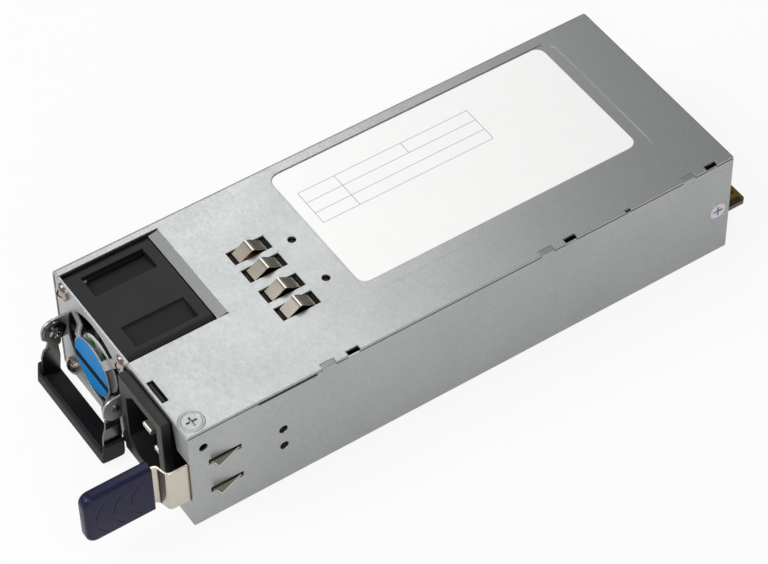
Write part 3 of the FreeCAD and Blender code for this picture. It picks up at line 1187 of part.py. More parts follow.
# --------------------------------------------------------------------------------------------
# Labels and earthing fingers
# --------------------------------------------------------------------------------------------
def make_earth_fingers():
    """A strip under the cover; its bowed fingers stand out of the windows."""
    fingers = body("earth_fingers")
    middle = "(-window_front - window_back)/2"
    bow = "((finger_half^2 + finger_rise^2)/(2*finger_rise))"
    scale = f"(({bow} - finger_skin)/{bow})"
    top = "(case_height - steel - seam)"
    drop = f"({bow} - finger_rise)*(1 - {scale})"
    slab(fingers, "XY", f"{top} - finger_skin", top, [rectangle(
        f"{FINGERS[0]} - finger_width/2", f"{middle} + finger_half*{scale}",
        f"{FINGERS[-1]} + finger_width/2", f"{middle} + finger_half + strip_length")])
    for place in FINGERS:
        slab(fingers, "YZ", f"{place} - finger_width/2", f"{place} + finger_width/2", [[
            (f"{middle} + finger_half", top, bow), (f"{middle} - finger_half", top),
            (f"{middle} - finger_half*{scale}", f"{top} - {drop}", f"-{scale}*{bow}"),
            (f"{middle} + finger_half*{scale}", f"{top} - {drop}")]])
    return fingers


def make_rating_label():
    label = body("rating_label")
    floor = f"({TOP} - recess_sink)"
    slab(label, "XY", floor, f"{floor} + label_skin",
         [rounded("-label_left", "-label_front", "label_right", "label_back", "label_corner")])
    return label


# --------------------------------------------------------------------------------------------
# Board and what stands on it
# --------------------------------------------------------------------------------------------
def corners(item, inset=0):
    """Left, front, right and back of a part on the board."""
    wide, long = f"{item}_width/2 - {inset}", f"{item}_length/2 - {inset}"
    return (f"{item}_x - ({wide})", f"{item}_y - ({long})", f"{item}_x + {wide}",
            f"{item}_y + {long}")


def standing(name, item, round_off=0.6):
    """A moulded block on the board with rounded upright edges and top."""
    owner = body(name)
    left, front, right, back = corners(item)
    slab(owner, "XY", BOARD_TOP, f"{BOARD_TOP} + {item}_height", [rectangle(left, front, right, back)])
    top = num(f"{BOARD_TOP} + {item}_height")
    soften(owner, round_off, lambda edge: edge.CenterOfMass.z > num(BOARD_TOP) + 0.1
           and edge.CenterOfMass.z <= top + 0.01)
    return owner


def ring_choke(core_name, winding_name, item, angle, both):
    """An upright ring core and the wire wound on it, as a sleeve round part of the ring."""
    place = (f"{item}_x", f"{item}_y", f"{BOARD_TOP} + {item}_height/2")
    outer, wide = f"({item}_height/2)", f"({item}_width/2)"
    core = body(core_name, place)
    ring_out, ring_in = f"({outer} - choke_wire)", f"({outer} - choke_wire - choke_core)"
    slab(core, "YZ", f"-{wide} + choke_wire", f"{wide} - choke_wire", [],
         [(0, 0, ring_out), (0, 0, ring_in)])
    winding = body(winding_name, place)
    for side in (-1, 1) if both else (1,):
        near, far = f"{side}*({ring_in} - choke_wire)", f"{side}*{outer}"
        core_near, core_far = f"{side}*{ring_in}", f"{side}*{ring_out}"
        revolve(winding, "XY", "X", angle, [
            [(f"-{wide}", near), (wide, near), (wide, far), (f"-{wide}", far)],
            [(f"-{wide} + choke_wire", core_near), (f"{wide} - choke_wire", core_near),
             (f"{wide} - choke_wire", core_far), (f"-{wide} + choke_wire", core_far)]])
    return {core_name: core, winding_name: winding}


def make_board():
    """Main board with its card edge, the contacts, the film below it and the standoffs."""
    board = body("main_board")
    tip = f"({REAR} + card_reach)"
    slab(board, "XY", "board_low", BOARD_TOP, [[
        ("-board_half", "-board_front"), ("board_half", "-board_front"),
        ("board_half", f"{tip} - 0.8"), ("board_half - 0.8", tip), ("0.8 - board_half", tip),
        ("-board_half", f"{tip} - 0.8")]])
    spots = [(x, y, "screw_radius") for x in ("-standoff_x", "standoff_x")
             for y in ("-standoff_front", "standoff_back")]
    carve(board, "XY", "board_low - 0.1", f"{BOARD_TOP} + 0.1", [], spots)
    contacts = body("card_contacts")
    first = "-(contact_count - 1)*contact_pitch/2"
    strip = rectangle(f"{first} - contact_width/2", f"{tip} - 1 - contact_length",
                      f"{first} + contact_width/2", f"{tip} - 1")
    for low in (BOARD_TOP, "(board_low - contact_skin)"):
        pad = slab(contacts, "XY", low, f"{low} + contact_skin", [strip])
        repeat(contacts, pad, "contact_count", "contact_pitch")
    film = body("insulation_sheet")
    slab(film, "XY", "steel", "steel + film", [rectangle(
        "-sheet_edge", "-board_front", "sheet_edge", f"{REAR} - rear_flange - 1")],
        [(x, y, "standoff_flat*0.62") for x, y, radius in spots])
    posts = body("standoffs")
    for x, y, radius in spots:
        slab(posts, "XY", "steel", "board_low", [hexagon(x, y, "standoff_flat")])
        slab(posts, "XY", 0, "steel + 0.1", [], [(x, y, "spigot_radius")])
    carve(posts, "XY", "board_low - screw_length + board_skin", "board_low + 0.1", [], spots)
    return {"main_board": board, "card_contacts": contacts, "insulation_sheet": film,
            "standoffs": posts}


def make_line_side():
    """Mains side: terminal, wires, choke, filter capacitors, fuse, relay and bridge."""
    nodes = {"inlet_terminal": standing("inlet_terminal", "terminal"),
             "x_capacitor": standing("x_capacitor", "x_capacitor", 1.0),
             "relay": standing("relay", "relay"),
             "bridge_rectifier": standing("bridge_rectifier", "bridge", 0.5)}
    tail = f"({BODY_END} + blade_tail)"
    x, z = f"({INLET_X} + blade_stagger)", INLET_Z
    face = "(terminal_y - terminal_length/2)"
    nodes["live_wire"] = wire("live_wire", "YZ", x, [
        (tail, f"{z} + blade_pitch"), (f"{tail} + 2.5", f"{z} + blade_pitch"),
        (f"{face} - 2.5", f"{BOARD_TOP} + terminal_height - 2"),
        (face, f"{BOARD_TOP} + terminal_height - 2")], "wire_radius")
    nodes["neutral_wire"] = wire("neutral_wire", "YZ", x, [
        (tail, f"{z} - blade_pitch"), (f"{tail} + 2.5", f"{z} - blade_pitch"),
        (f"{face} - 2.5", f"{BOARD_TOP} + 3"), (face, f"{BOARD_TOP} + 3")], "wire_radius")
    nodes["earth_wire"] = wire("earth_wire", "YZ", f"({INLET_X} - blade_stagger)", [
        (tail, z), (f"{tail} + 3", z), (f"{tail} + 6", f"{z} - 5"), (f"{tail} + 6", "steel")],
        "wire_radius")
    nodes.update(ring_choke("line_choke_core", "line_choke_winding", "line_choke", 130, True))
    discs = body("y_capacitors")
    for shift in ("0", "disc_pitch"):
        y, r = f"(-disc_y + {shift})", "disc_radius"
        slab(discs, "YZ", "disc_x - disc_skin/2", "disc_x + disc_skin/2", [],
             [(y, f"{BOARD_TOP} + 1.5 + {r}", r)])
        for leg in (-1, 1):
            slab(discs, "XY", BOARD_TOP, f"{BOARD_TOP} + 3.5", [],
                 [("disc_x", f"{y} + {leg}*{r}/2", "lead_wire")])
    nodes["y_capacitors"] = discs
    fuse_body = body("fuse")
    ends = ("fuse_y - fuse_length/2", "fuse_y + fuse_length/2")
    radius = "(fuse_width/2)"
    slab(fuse_body, "XZ", *ends, [], [("fuse_x", f"{BOARD_TOP} + fuse_height - {radius}", radius)])
    for end, inwards in zip(ends, ("+ 1", "- 3")):
        slab(fuse_body, "XZ", f"{end} {inwards}", f"{end} {inwards} + 2", [rectangle(
            f"fuse_x - {radius}", BOARD_TOP, f"fuse_x + {radius}",
            f"{BOARD_TOP} + fuse_height - {radius}")])
    nodes["fuse"] = fuse_body
    return nodes


def make_power_side():
    """Boost choke, bulk capacitor, heat sinks, transformers, output choke and capacitors."""
    nodes = ring_choke("boost_choke_core", "boost_choke_winding", "boost_choke", 300, False)
    nodes.update(ring_choke("output_choke_core", "output_choke_winding", "output_choke", 300, False))
    can = body("bulk_capacitor")
    front, back, radius = "bulk_y - bulk_length/2", "bulk_y + bulk_length/2", "bulk_width/2"
    slab(can, "XZ", front, back, [], [("bulk_x", f"{BOARD_TOP} + {radius}", radius)])
    soften(can, 1.2, lambda edge: isinstance(edge.Curve, Part.Circle))
    nodes["bulk_capacitor"] = can
    sink = body("primary_heat_sink")
    left, front, right, back = corners("primary_sink")
    top = f"{BOARD_TOP} + primary_sink_height"
    slab(sink, "XY", BOARD_TOP, top, [rectangle(f"{right} - sink_skin", front, right, back)])
    fin = slab(sink, "XY", f"{BOARD_TOP} + 3", top, [rectangle(
        left, front, f"{right} - sink_skin/2", f"{front} + sink_fin")])
    repeat(sink, fin, "sink_fins", "(primary_sink_length - sink_fin)/(sink_fins - 1)", "Y")
    nodes["primary_heat_sink"] = sink
    cold = body("secondary_heat_sink")
    left, front, right, back = corners("secondary_sink")
    top = f"{BOARD_TOP} + secondary_sink_height"
    slab(cold, "XY", BOARD_TOP, top, [rectangle(left, front, right, f"{front} + sink_skin")])
    fin = slab(cold, "XY", f"{BOARD_TOP} + 3", top, [rectangle(
        left, f"{front} + sink_skin/2", f"{left} + sink_fin", back)])
    repeat(cold, fin, "sink_fins", "(secondary_sink_width - sink_fin)/(sink_fins - 1)")
    nodes["secondary_heat_sink"] = cold
    transistors = body("power_transistors")
    face, low = "(primary_sink_x + primary_sink_width/2)", f"({BOARD_TOP} + transistor_lift)"
    first = "(primary_sink_y - primary_sink_length/2 + 5)"
    chip = slab(transistors, "XY", low, f"{low} + transistor_height", [rectangle(
        face, first, f"{face} + transistor_skin", f"{first} + transistor_width")])
    repeat(transistors, chip, 3, "transistor_pitch", "Y")
    leg = slab(transistors, "XY", BOARD_TOP, low, [
        rectangle(f"{face} + 1.6", f"{first} + {y} - lead_wire",
                  f"{face} + 2.4", f"{first} + {y} + lead_wire")
        for y in (2.5, 5.0, 7.5)])
    repeat(transistors, leg, 3, "transistor_pitch", "Y")
    nodes["power_transistors"] = transistors
    nodes.update(make_transformer())
    nodes["standby_transformer"] = standing("standby_transformer", "standby")
    cans = body("output_capacitors")
    first = "-(can_count - 1)*can_pitch/2"
    tin = slab(cans, "XY", BOARD_TOP, f"{BOARD_TOP} + can_height", [], [(first, "can_y", "can_radius")])
    repeat(cans, tin, "can_count", "can_pitch")
    nodes["output_capacitors"] = cans
    nodes["control_board"] = standing("control_board", "control", 0.2)
    return nodes


def make_transformer():
    """Ferrite core and the taped winding it encloses."""
    left, front, right, back = corners("transformer")
    top = f"({BOARD_TOP} + transformer_height)"
    low = f"({BOARD_TOP} + core_lift)"
    core = body("transformer_core")
    slab(core, "XZ", f"{front} + coil_end", f"{back} - coil_end", [rectangle(left, low, right, top)])
    carve(core, "XZ", f"{front} + coil_end - 1", f"{back} - coil_end + 1", [rectangle(
        f"{left} + core_leg", f"{low} + core_yoke", f"{right} - core_leg", f"{top} - core_yoke")])
    winding = body("transformer_winding")
    slab(winding, "XZ", front, back, [rectangle(
        f"{left} + core_leg", f"{low} + core_yoke", f"{right} - core_leg", f"{top} - core_yoke")])
    for start in (front, f"{back} - coil_end + 0.1"):
        slab(winding, "XY", BOARD_TOP, f"{low} + core_yoke + 1", [rectangle(
            f"{left} + 2", start, f"{right} - 2", f"{start} + coil_end - 0.1")])
    return {"transformer_core": core, "transformer_winding": winding}


def make_fan_lead():
    """Connector on the board, and the three wires that run to it beside the fan."""
    nodes = {"fan_connector": standing("fan_connector", "fan_socket", 0.4)}
    side = f"({FAN_X} + fan_size/2 + fan_clear)"
    top = f"({BOARD_TOP} + fan_socket_height)"
    high = f"({TOP} - 4.2)"
    for index, colour in enumerate(("yellow", "red", "black")):
        nodes[f"fan_wire_{colour}"] = wire(
            f"fan_wire_{colour}", "YZ", f"({side} + {index}*lead_pitch)",
            [(f"{FAN_Y} + fan_depth - 3.5", high), ("fan_socket_y - 4.5", high),
             ("fan_socket_y", f"{high} - 6"), ("fan_socket_y", top)], "lead_radius")
    return nodes


# --------------------------------------------------------------------------------------------
# Build, check and write
# --------------------------------------------------------------------------------------------
nodes = {"chassis": make_chassis(), "rear_panel": make_rear_panel(),
         "top_cover": make_top_cover(), "front_panel": make_front_panel(),
         "fan_frame": make_fan_frame(), "fan_rotor": make_rotor()}
nodes.update(make_fan_pieces())
nodes.update({"inlet_housing": make_inlet(), "inlet_pins": make_inlet_pins(),
              "handle_arm_left": make_arm("handle_arm_left", -1),
              "handle_arm_right": make_arm("handle_arm_right", 1), "handle_grip": make_grip(),
              "latch_leaf": make_leaf()})
nodes.update(make_latch_pieces())
nodes.update({"earth_fingers": make_earth_fingers(), "rating_label": make_rating_label()})
nodes.update(make_screws())
nodes.update(make_board())
nodes.update(make_line_side())
nodes.update(make_power_side())
nodes.update(make_fan_lead())
doc.recompute()

for thing in doc.Objects:
    if "Invalid" in thing.State or "Error" in thing.State:
        raise RuntimeError(f"{thing.Name} did not build: {thing.State}")
os.makedirs("parts", exist_ok=True)
for name, piece in nodes.items():
    piece.Label = name
    shape = piece.Shape
    if shape.isNull() or not shape.isValid() or not shape.Solids:
        raise RuntimeError(f"{name} has no valid shape")
    shape.exportStep(f"parts/{name}.step")
    print(name, len(shape.Solids), round(shape.Volume, 1))
print(len(nodes), "nodes")
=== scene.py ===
import json
import math

import bmesh
import bpy
from mathutils import Matrix, Vector

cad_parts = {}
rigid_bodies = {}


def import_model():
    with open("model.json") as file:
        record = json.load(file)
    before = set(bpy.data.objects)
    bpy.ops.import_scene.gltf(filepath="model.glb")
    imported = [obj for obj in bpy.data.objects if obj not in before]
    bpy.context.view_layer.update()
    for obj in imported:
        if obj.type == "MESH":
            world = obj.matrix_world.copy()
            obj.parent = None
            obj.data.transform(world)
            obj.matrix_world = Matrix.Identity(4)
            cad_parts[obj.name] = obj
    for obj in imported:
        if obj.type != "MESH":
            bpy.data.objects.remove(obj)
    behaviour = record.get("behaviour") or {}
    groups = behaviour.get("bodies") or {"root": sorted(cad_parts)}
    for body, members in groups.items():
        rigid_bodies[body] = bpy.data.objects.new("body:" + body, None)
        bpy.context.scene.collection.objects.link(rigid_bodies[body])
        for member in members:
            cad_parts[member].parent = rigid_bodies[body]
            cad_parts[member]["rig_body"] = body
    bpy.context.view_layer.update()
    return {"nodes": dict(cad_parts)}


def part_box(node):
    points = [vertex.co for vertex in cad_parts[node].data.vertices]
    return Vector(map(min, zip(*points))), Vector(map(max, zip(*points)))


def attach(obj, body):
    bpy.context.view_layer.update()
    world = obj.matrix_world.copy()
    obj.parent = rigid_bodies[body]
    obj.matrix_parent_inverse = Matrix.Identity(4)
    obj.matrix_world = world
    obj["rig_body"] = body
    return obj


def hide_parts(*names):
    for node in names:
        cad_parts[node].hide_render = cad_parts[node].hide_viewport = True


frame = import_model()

# The room: a pale floor under the module, and one camera that looks down on its front right
# corner. The floor keeps the module's soft shadow, and it glows white to the camera and a third
# as strongly to metal.
azimuth, elevation, roll = math.radians(57.144), math.radians(48.396), math.radians(-1.231)
aim_height, distance, aside, below = 0.020, 0.90486, 0.004111, 0.007266
lens_mm, film_mm = 146.592656, 36
back = Vector((math.sin(azimuth) * math.cos(elevation), -math.cos(azimuth) * math.cos(elevation),
               math.sin(elevation)))
level = Vector((0, 0, 1)).cross(back).normalized()
upward = back.cross(level)
right = math.cos(roll) * level + math.sin(roll) * upward
up = -math.sin(roll) * level + math.cos(roll) * upward
eye = Vector((0, 0, aim_height)) + distance * back - aside * right - below * up
camera = bpy.data.objects.new("camera", bpy.data.cameras.new("camera"))
camera.data.sensor_width = film_mm
camera.data.lens = lens_mm
camera.data.clip_start = 0.05
camera.data.clip_end = 20
camera.matrix_world = Matrix((
    (right.x, up.x, back.x, eye.x), (right.y, up.y, back.y, eye.y),
    (right.z, up.z, back.z, eye.z), (0, 0, 0, 1)))
bpy.context.collection.objects.link(camera)
bpy.context.scene.camera = camera
bpy.context.scene.view_settings.view_transform = "Standard"


def colour(code):
    """An sRGB hex value as linear red, green, blue and alpha."""
    parts = [int(code[i:i + 2], 16) / 255 for i in (1, 3, 5)]
    return [c / 12.92 if c < 0.04045 else ((c + 0.055) / 1.055) ** 2.4 for c in parts] + [1.0]


def add(tree, kind, given=None):
    """A shader node. Lower-case names are settings; others are inputs, set or linked."""
    node = tree.nodes.new("ShaderNode" + kind)
    for name, value in (given or {}).items():
        if isinstance(name, str) and name[0].islower():
            setattr(node, name, value)
        elif isinstance(value, bpy.types.NodeSocket):
            tree.links.new(value, node.inputs[name])
        else:
            node.inputs[name].default_value = value
    return node


def made(title, mesh, finish, crease=180):
    """A piece from a finished bmesh, in one finish. It is shaded smooth but for edges that are
    sharper than the crease's angle, or flat where that is 0."""
    piece = bpy.data.objects.new(title, bpy.data.meshes.new(title))
    mesh.to_mesh(piece.data)
    mesh.free()
    piece.data.polygons.foreach_set("use_smooth", [crease > 0] * len(piece.data.polygons))
    if 0 < crease < 180:
        piece.data.set_sharp_from_angle(angle=math.radians(crease))
    piece.data.materials.append(finish)
    bpy.context.collection.objects.link(piece)
    return piece


white = colour("#ffffff")
camera_share, gloss_share = 0.88, 0.33
floor_paint = bpy.data.materials.new("white studio floor")
floor_paint.use_nodes = True
tree = floor_paint.node_tree
tree.nodes.clear()
matt = add(tree, "BsdfDiffuse", {"Color": colour("#efefef")})
glow = add(tree, "Emission", {"Color": white, "Strength": 1.0})
rays = add(tree, "LightPath")
seen = add(tree, "Math", {"operation": "MULTIPLY", 0: rays.outputs["Is Camera Ray"],
                          1: camera_share})
mirrored = add(tree, "Math", {"operation": "MULTIPLY_ADD", 0: rays.outputs["Is Glossy Ray"],
                              1: gloss_share, 2: seen.outputs[0]})
mixed = add(tree, "MixShader", {"Fac": mirrored.outputs[0], 1: matt.outputs[0],
                                2: glow.outputs[0]})
add(tree, "OutputMaterial", {"Surface": mixed.outputs[0]})
floor_half, floor_gap = 4, 0.0002
mesh = bmesh.new()
bmesh.ops.create_grid(mesh, x_segments=1, y_segments=1, size=floor_half)
bmesh.ops.translate(mesh, verts=mesh.verts, vec=(0, 0, -floor_gap))
floor = made("floor", mesh, floor_paint, crease=0)

# A black card behind the module, seen by polished metal alone. It keeps the rear slopes of the
# earthing fingers dark, as a studio's unlit back wall does.
card_place, card_half_wide, card_half_high = (-0.33, 0.42, 0.05), 0.33, 0.06
card_paint = bpy.data.materials.new("black card")
card_paint.use_nodes = True
card_paint.node_tree.nodes["Principled BSDF"].inputs["Base Color"].default_value = (
    colour("#060606"))
mesh = bmesh.new()
bmesh.ops.create_grid(mesh, x_segments=1, y_segments=1, size=1)
bmesh.ops.transform(mesh, verts=mesh.verts, matrix=(
    Matrix.Translation(card_place) @ Matrix.Rotation(math.radians(90), 4, "X")
    @ Matrix.Diagonal((card_half_wide, card_half_high, 1, 1))))
card = made("card", mesh, card_paint, crease=0)
card.visible_camera = card.visible_diffuse = card.visible_shadow = False

lit_strength, seen_strength = 0.28, 1.0
world = bpy.data.worlds.new("white room")
bpy.context.scene.world = world
world.use_nodes = True
tree = world.node_tree
tree.nodes.clear()
rays = add(tree, "LightPath")
dim = add(tree, "Background", {"Color": white, "Strength": lit_strength})
bright = add(tree, "Background", {"Color": white, "Strength": seen_strength})
mixed = add(tree, "MixShader", {"Fac": rays.outputs["Is Camera Ray"], 1: dim.outputs[0],
                                2: bright.outputs[0]})
add(tree, "OutputWorld", {"Surface": mixed.outputs[0]})

# Four soft boxes: the key over the front, a near strip whose sheen lies on the front half of
# the cover and fades towards the rear, a weak one that opens up the right wall, and a fill from
# above the camera, which lifts paper and plastic but which bare metal throws the other way.
lit_point = Vector((0, -0.02, 0.02))
for name, place, long_side, short_side, power in (
        ("key", (-0.25, -0.85, 0.85), 0.60, 0.60, 8.4),
        ("sheen", (-0.30, 0.10, 0.45), 0.16, 0.36, 0.47),
        ("side", (0.80, -0.30, 0.50), 0.40, 0.40, 1.7),
        ("fill", (0.67, -0.43, 0.92), 0.30, 0.30, 2.1)):
    light = bpy.data.objects.new(name, bpy.data.lights.new(name, "AREA"))
    light.data.shape = "RECTANGLE"
    light.data.size = long_side
    light.data.size_y = short_side
    light.data.energy = power
    light.location = place
    light.rotation_euler = (lit_point - Vector(place)).to_track_quat("-Z", "Y").to_euler()
    bpy.context.collection.objects.link(light)


# Tray and rear wall: blanked and folded from 0.8 mm hot-dip galvanised steel. The zinc froze in
# small crystals that catch the light differently, under a thin satin passivation.
def principled(name, metallic=0.0, index=None):
    """A new material: its node tree, its shader, and where on the piece it is."""
    material = bpy.data.materials.new(name)
    material.use_nodes = True
    tree = material.node_tree
    shader = tree.nodes["Principled BSDF"]
    shader.inputs["Metallic"].default_value = metallic
    if index:
        shader.inputs["IOR"].default_value = index
    return material, tree, shader, add(tree, "TexCoord").outputs["Object"]


def dappled(tree, shader, shade, pattern, tones, roughness=None, span=(0.0, 1.0)):
    """Lets the shade's tone, and the roughness where it is given, follow a pattern: each goes
    between two values as the pattern goes over its span. Gives back the toned shade."""
    course = {"Value": pattern, "From Min": span[0], "From Max": span[1]}
    tone = add(tree, "MapRange", {**course, "To Min": tones[0], "To Max": tones[1]})
    tint = add(tree, "Mix", {"data_type": "RGBA", "blend_type": "MULTIPLY", "Factor": 1.0,
                             6: colour(shade), 7: tone.outputs[0]})
    tree.links.new(tint.outputs[2], shader.inputs["Base Color"])
    if roughness:
        rough = add(tree, "MapRange", {**course, "To Min": roughness[0], "To Max": roughness[1]})
        tree.links.new(rough.outputs[0], shader.inputs["Roughness"])
    return tint


def galvanised(name, shade):
    """Hot-dip galvanised steel: satin zinc, mottled by crystals of about a millimetre."""
    crystal_mm, grain_mm, cloud_mm = 1.1, 0.7, 20
    crystal_part, cloud_part, relief_mm = 0.25, 0.6, 0.05
    material, tree, shader, where = principled(name, metallic=0.9)
    crystals = add(tree, "TexVoronoi", {"Vector": where, "Scale": 1000 / crystal_mm})
    grain = add(tree, "TexNoise", {"Vector": where, "Scale": 1000 / grain_mm, "Detail": 3.0})
    cloud = add(tree, "TexNoise", {"Vector": where, "Scale": 1000 / cloud_mm, "Detail": 2.0})
    cell = add(tree, "SeparateColor", {"Color": crystals.outputs["Color"]})
    mottle = add(tree, "Math", {"operation": "MULTIPLY_ADD", 0: cell.outputs[0],
                                1: crystal_part, 2: grain.outputs["Fac"]})
    whole = add(tree, "Math", {"operation": "MULTIPLY_ADD", 0: cloud.outputs["Fac"],
                               1: cloud_part, 2: mottle.outputs[0]}).outputs[0]
    dappled(tree, shader, shade, whole, (0.89, 1.045), (0.43, 0.35), span=(0.5, 1.35))
    relief = add(tree, "Bump", {"Height": whole, "Strength": 0.10,
                                "Distance": relief_mm / 1000})
    tree.links.new(relief.outputs[0], shader.inputs["Normal"])
    return material


def merged(node):
    """A copy of a node's mesh, with its loose triangles joined and its flat faces made whole."""
    same_place, flat = 2e-6, math.radians(1.5)
    mesh = bmesh.new()
    mesh.from_mesh(frame["nodes"][node].data)
    bmesh.ops.remove_doubles(mesh, verts=mesh.verts, dist=same_place)
    bmesh.ops.dissolve_limit(mesh, angle_limit=flat, verts=mesh.verts, edges=mesh.edges)
    return mesh


def rounded(mesh, edges, radius_mm, segments, clamp=True, affect="EDGES"):
    """Rounds edges, or the corners of a flat sheet where affect says vertices."""
    bmesh.ops.bevel(mesh, geom=edges, offset=radius_mm / 1000, offset_type="OFFSET",
                    segments=segments, profile=0.5, affect=affect, clamp_overlap=clamp,
                    material=-1)


def eased(node, title, finish, round_mm, clamp=True, crease=35, mesh=None):
    """A copy of a node, or the mesh given for it, with its sharp outer edges rounded. It stands
    for the node and rides on its body."""
    source = frame["nodes"][node]
    if mesh is None:
        mesh = merged(node)
    sharp = [e for e in mesh.edges if e.is_manifold and e.is_convex
             and e.calc_face_angle() > math.radians(40)]
    rounded(mesh, sharp, round_mm, 2, clamp)
    piece = made(title, mesh, finish, crease)
    even = piece.modifiers.new("even shading", "WEIGHTED_NORMAL")
    even.keep_sharp = True
    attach(piece, source["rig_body"])
    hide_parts(node)
    return piece


zinc_sheet = galvanised("galvanised sheet", "#b5b7b7")
sheet_edge_mm = 0.12
tray = eased("chassis", "tray_sheet", zinc_sheet, sheet_edge_mm, clamp=False)
eased("rear_panel", "rear_wall_sheet", zinc_sheet, sheet_edge_mm, clamp=False)

# The right wall stops a little short of the cover, so that a dark seam shows between them.
seam_drop, edge_depth, wall_depth = 0.00025, 0.0010, 0.00085
case_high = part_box("chassis")[1]
for vertex in tray.data.vertices:
    if vertex.co.z > case_high.z - edge_depth and vertex.co.x > case_high.x - wall_depth:
        vertex.co.z -= seam_drop


# Insulation sheet: dark polycarbonate film, cut flat and laid under the board, so that no solder
# joint can reach the tray. It is smooth and half glossy.
def dress(material, *names):
    """Puts a finish on the nodes of these names."""
    for name in names:
        for place in frame["nodes"][name].material_slots:
            place.material = material


def moulded(name, shade, roughness, depth=0.10, gloss=0.5):
    """A plastic as it leaves its mould: even colour, a fine spark-eroded grain in the gloss.
    The real grain of about 0.05 mm is drawn ten times as coarse, so that it shows."""
    grain_mm, flow_mm, relief_mm = 0.5, 9, 0.08
    material, tree, shader, where = principled(name, index=1.5)
    shader.inputs["Specular IOR Level"].default_value = gloss
    grain = add(tree, "TexNoise", {"Vector": where, "Scale": 1000 / grain_mm, "Detail": 3.0})
    flow = add(tree, "TexNoise", {"Vector": where, "Scale": 1000 / flow_mm, "Detail": 3.0})
    dappled(tree, shader, shade, flow.outputs["Fac"], (0.88, 1.12),
            (roughness - 0.05, roughness + 0.05))
    relief = add(tree, "Bump", {"Height": grain.outputs["Fac"], "Strength": depth,
                                "Distance": relief_mm / 1000})
    tree.links.new(relief.outputs[0], shader.inputs["Normal"])
    return material


dress(moulded("polycarbonate film", "#202022", 0.35, depth=0.03), "insulation_sheet")


# Main board and control board: 1.6 mm glass-epoxy laminate under a dark green solder mask. The
# mask is glossy, and the cut edge shows the bare amber laminate.
def laminate(name, mask, cut_edge, normal, margin=None):
    """Solder mask on the faces square to an axis (0, 1 or 2), and bare laminate at the edges
    and, where given, behind the line at which the mask stops short of the rear edge."""
    track_mm, weave_mm, relief_mm = 2.5, 0.6, 0.04
    material, tree, shader, where = principled(name, index=1.55)
    tracks = add(tree, "TexNoise", {"Vector": where, "Scale": 1000 / track_mm, "Detail": 1.0})
    tint = dappled(tree, shader, mask, tracks.outputs["Fac"], (0.75, 1.25), span=(0.48, 0.52))
    facing = add(tree, "SeparateXYZ", {"Vector": add(tree, "TexCoord").outputs["Normal"]})
    flat = add(tree, "Math", {"operation": "ABSOLUTE", 0: facing.outputs[normal]})
    side = add(tree, "Math", {"operation": "LESS_THAN", 0: flat.outputs[0], 1: 0.5})
    if margin:
        place = add(tree, "SeparateXYZ", {"Vector": where})
        rim = add(tree, "Math", {"operation": "GREATER_THAN", 0: place.outputs[1], 1: margin})
        side = add(tree, "Math", {"operation": "MAXIMUM", 0: side.outputs[0], 1: rim.outputs[0]})
    both = add(tree, "Mix", {"data_type": "RGBA", "Factor": side.outputs[0],
                             6: tint.outputs[2], 7: colour(cut_edge)})
    tree.links.new(both.outputs[2], shader.inputs["Base Color"])
    weave = add(tree, "TexNoise", {"Vector": where, "Scale": 1000 / weave_mm, "Detail": 2.0})
    relief = add(tree, "Bump", {"Height": weave.outputs["Fac"], "Strength": 0.06,
                                "Distance": relief_mm / 1000})
    tree.links.new(relief.outputs[0], shader.inputs["Normal"])
    shader.inputs["Roughness"].default_value = 0.30
    return material


bare_rim = 0.0012
dress(laminate("main board laminate", "#0f1a12", "#644a16", 2,
               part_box("main_board")[1].y - bare_rim), "main_board")
dress(laminate("control board laminate", "#16361f", "#644a16", 0), "control_board")


# Standoffs, board screws and card contacts. The standoffs are turned brass swaged into the tray,
# the screws are nickel plated, and the contacts are copper pads under hard gold.
def plated(name, shade, roughness):
    """A plated or polished metal: one shade, with soft patches in its gloss and a faint grain."""
    cloud_mm, grain_mm, relief_mm = 6.0, 0.5, 0.03
    material, tree, shader, where = principled(name, metallic=1.0)
    cloud = add(tree, "TexNoise", {"Vector": where, "Scale": 1000 / cloud_mm, "Detail": 2.0})
    grain = add(tree, "TexNoise", {"Vector": where, "Scale": 1000 / grain_mm, "Detail": 2.0})
    dappled(tree, shader, shade, cloud.outputs["Fac"], (0.94, 1.04),
            (roughness - 0.04, roughness + 0.04))
    relief = add(tree, "Bump", {"Height": grain.outputs["Fac"], "Strength": 0.03,
                                "Distance": relief_mm / 1000})
    tree.links.new(relief.outputs[0], shader.inputs["Normal"])
    return material


bright_nickel = plated("bright nickel plate", "#d8d3ca", 0.17)
dress(plated("turned brass", "#d9b566", 0.28), "standoffs")
dress(plated("hard gold plate", "#98742e", 0.26), "card_contacts")
dress(bright_nickel, "board_screws")


# Mains inlet: black nylon bezel and body in one moulding, snapped in behind the panel. Its three
# blades are nickel-plated brass, dulled by use, and its leads run back to a screw terminal on
# the board.
inlet_nylon = moulded("black inlet nylon", "#121213", 0.42, gloss=0.4)
eased("inlet_housing", "inlet_moulding", inlet_nylon, 0.35)
dress(inlet_nylon, "inlet_terminal")
dress(plated("nickel-plated brass", "#e6e1d8", 0.42), "inlet_pins")
for name, shade in (("live_wire", "#5a3420"), ("neutral_wire", "#1f4aa0"),
                    ("earth_wire", "#6b9a24")):
    dress(moulded(name + " PVC", shade, 0.45, depth=0.04), name)


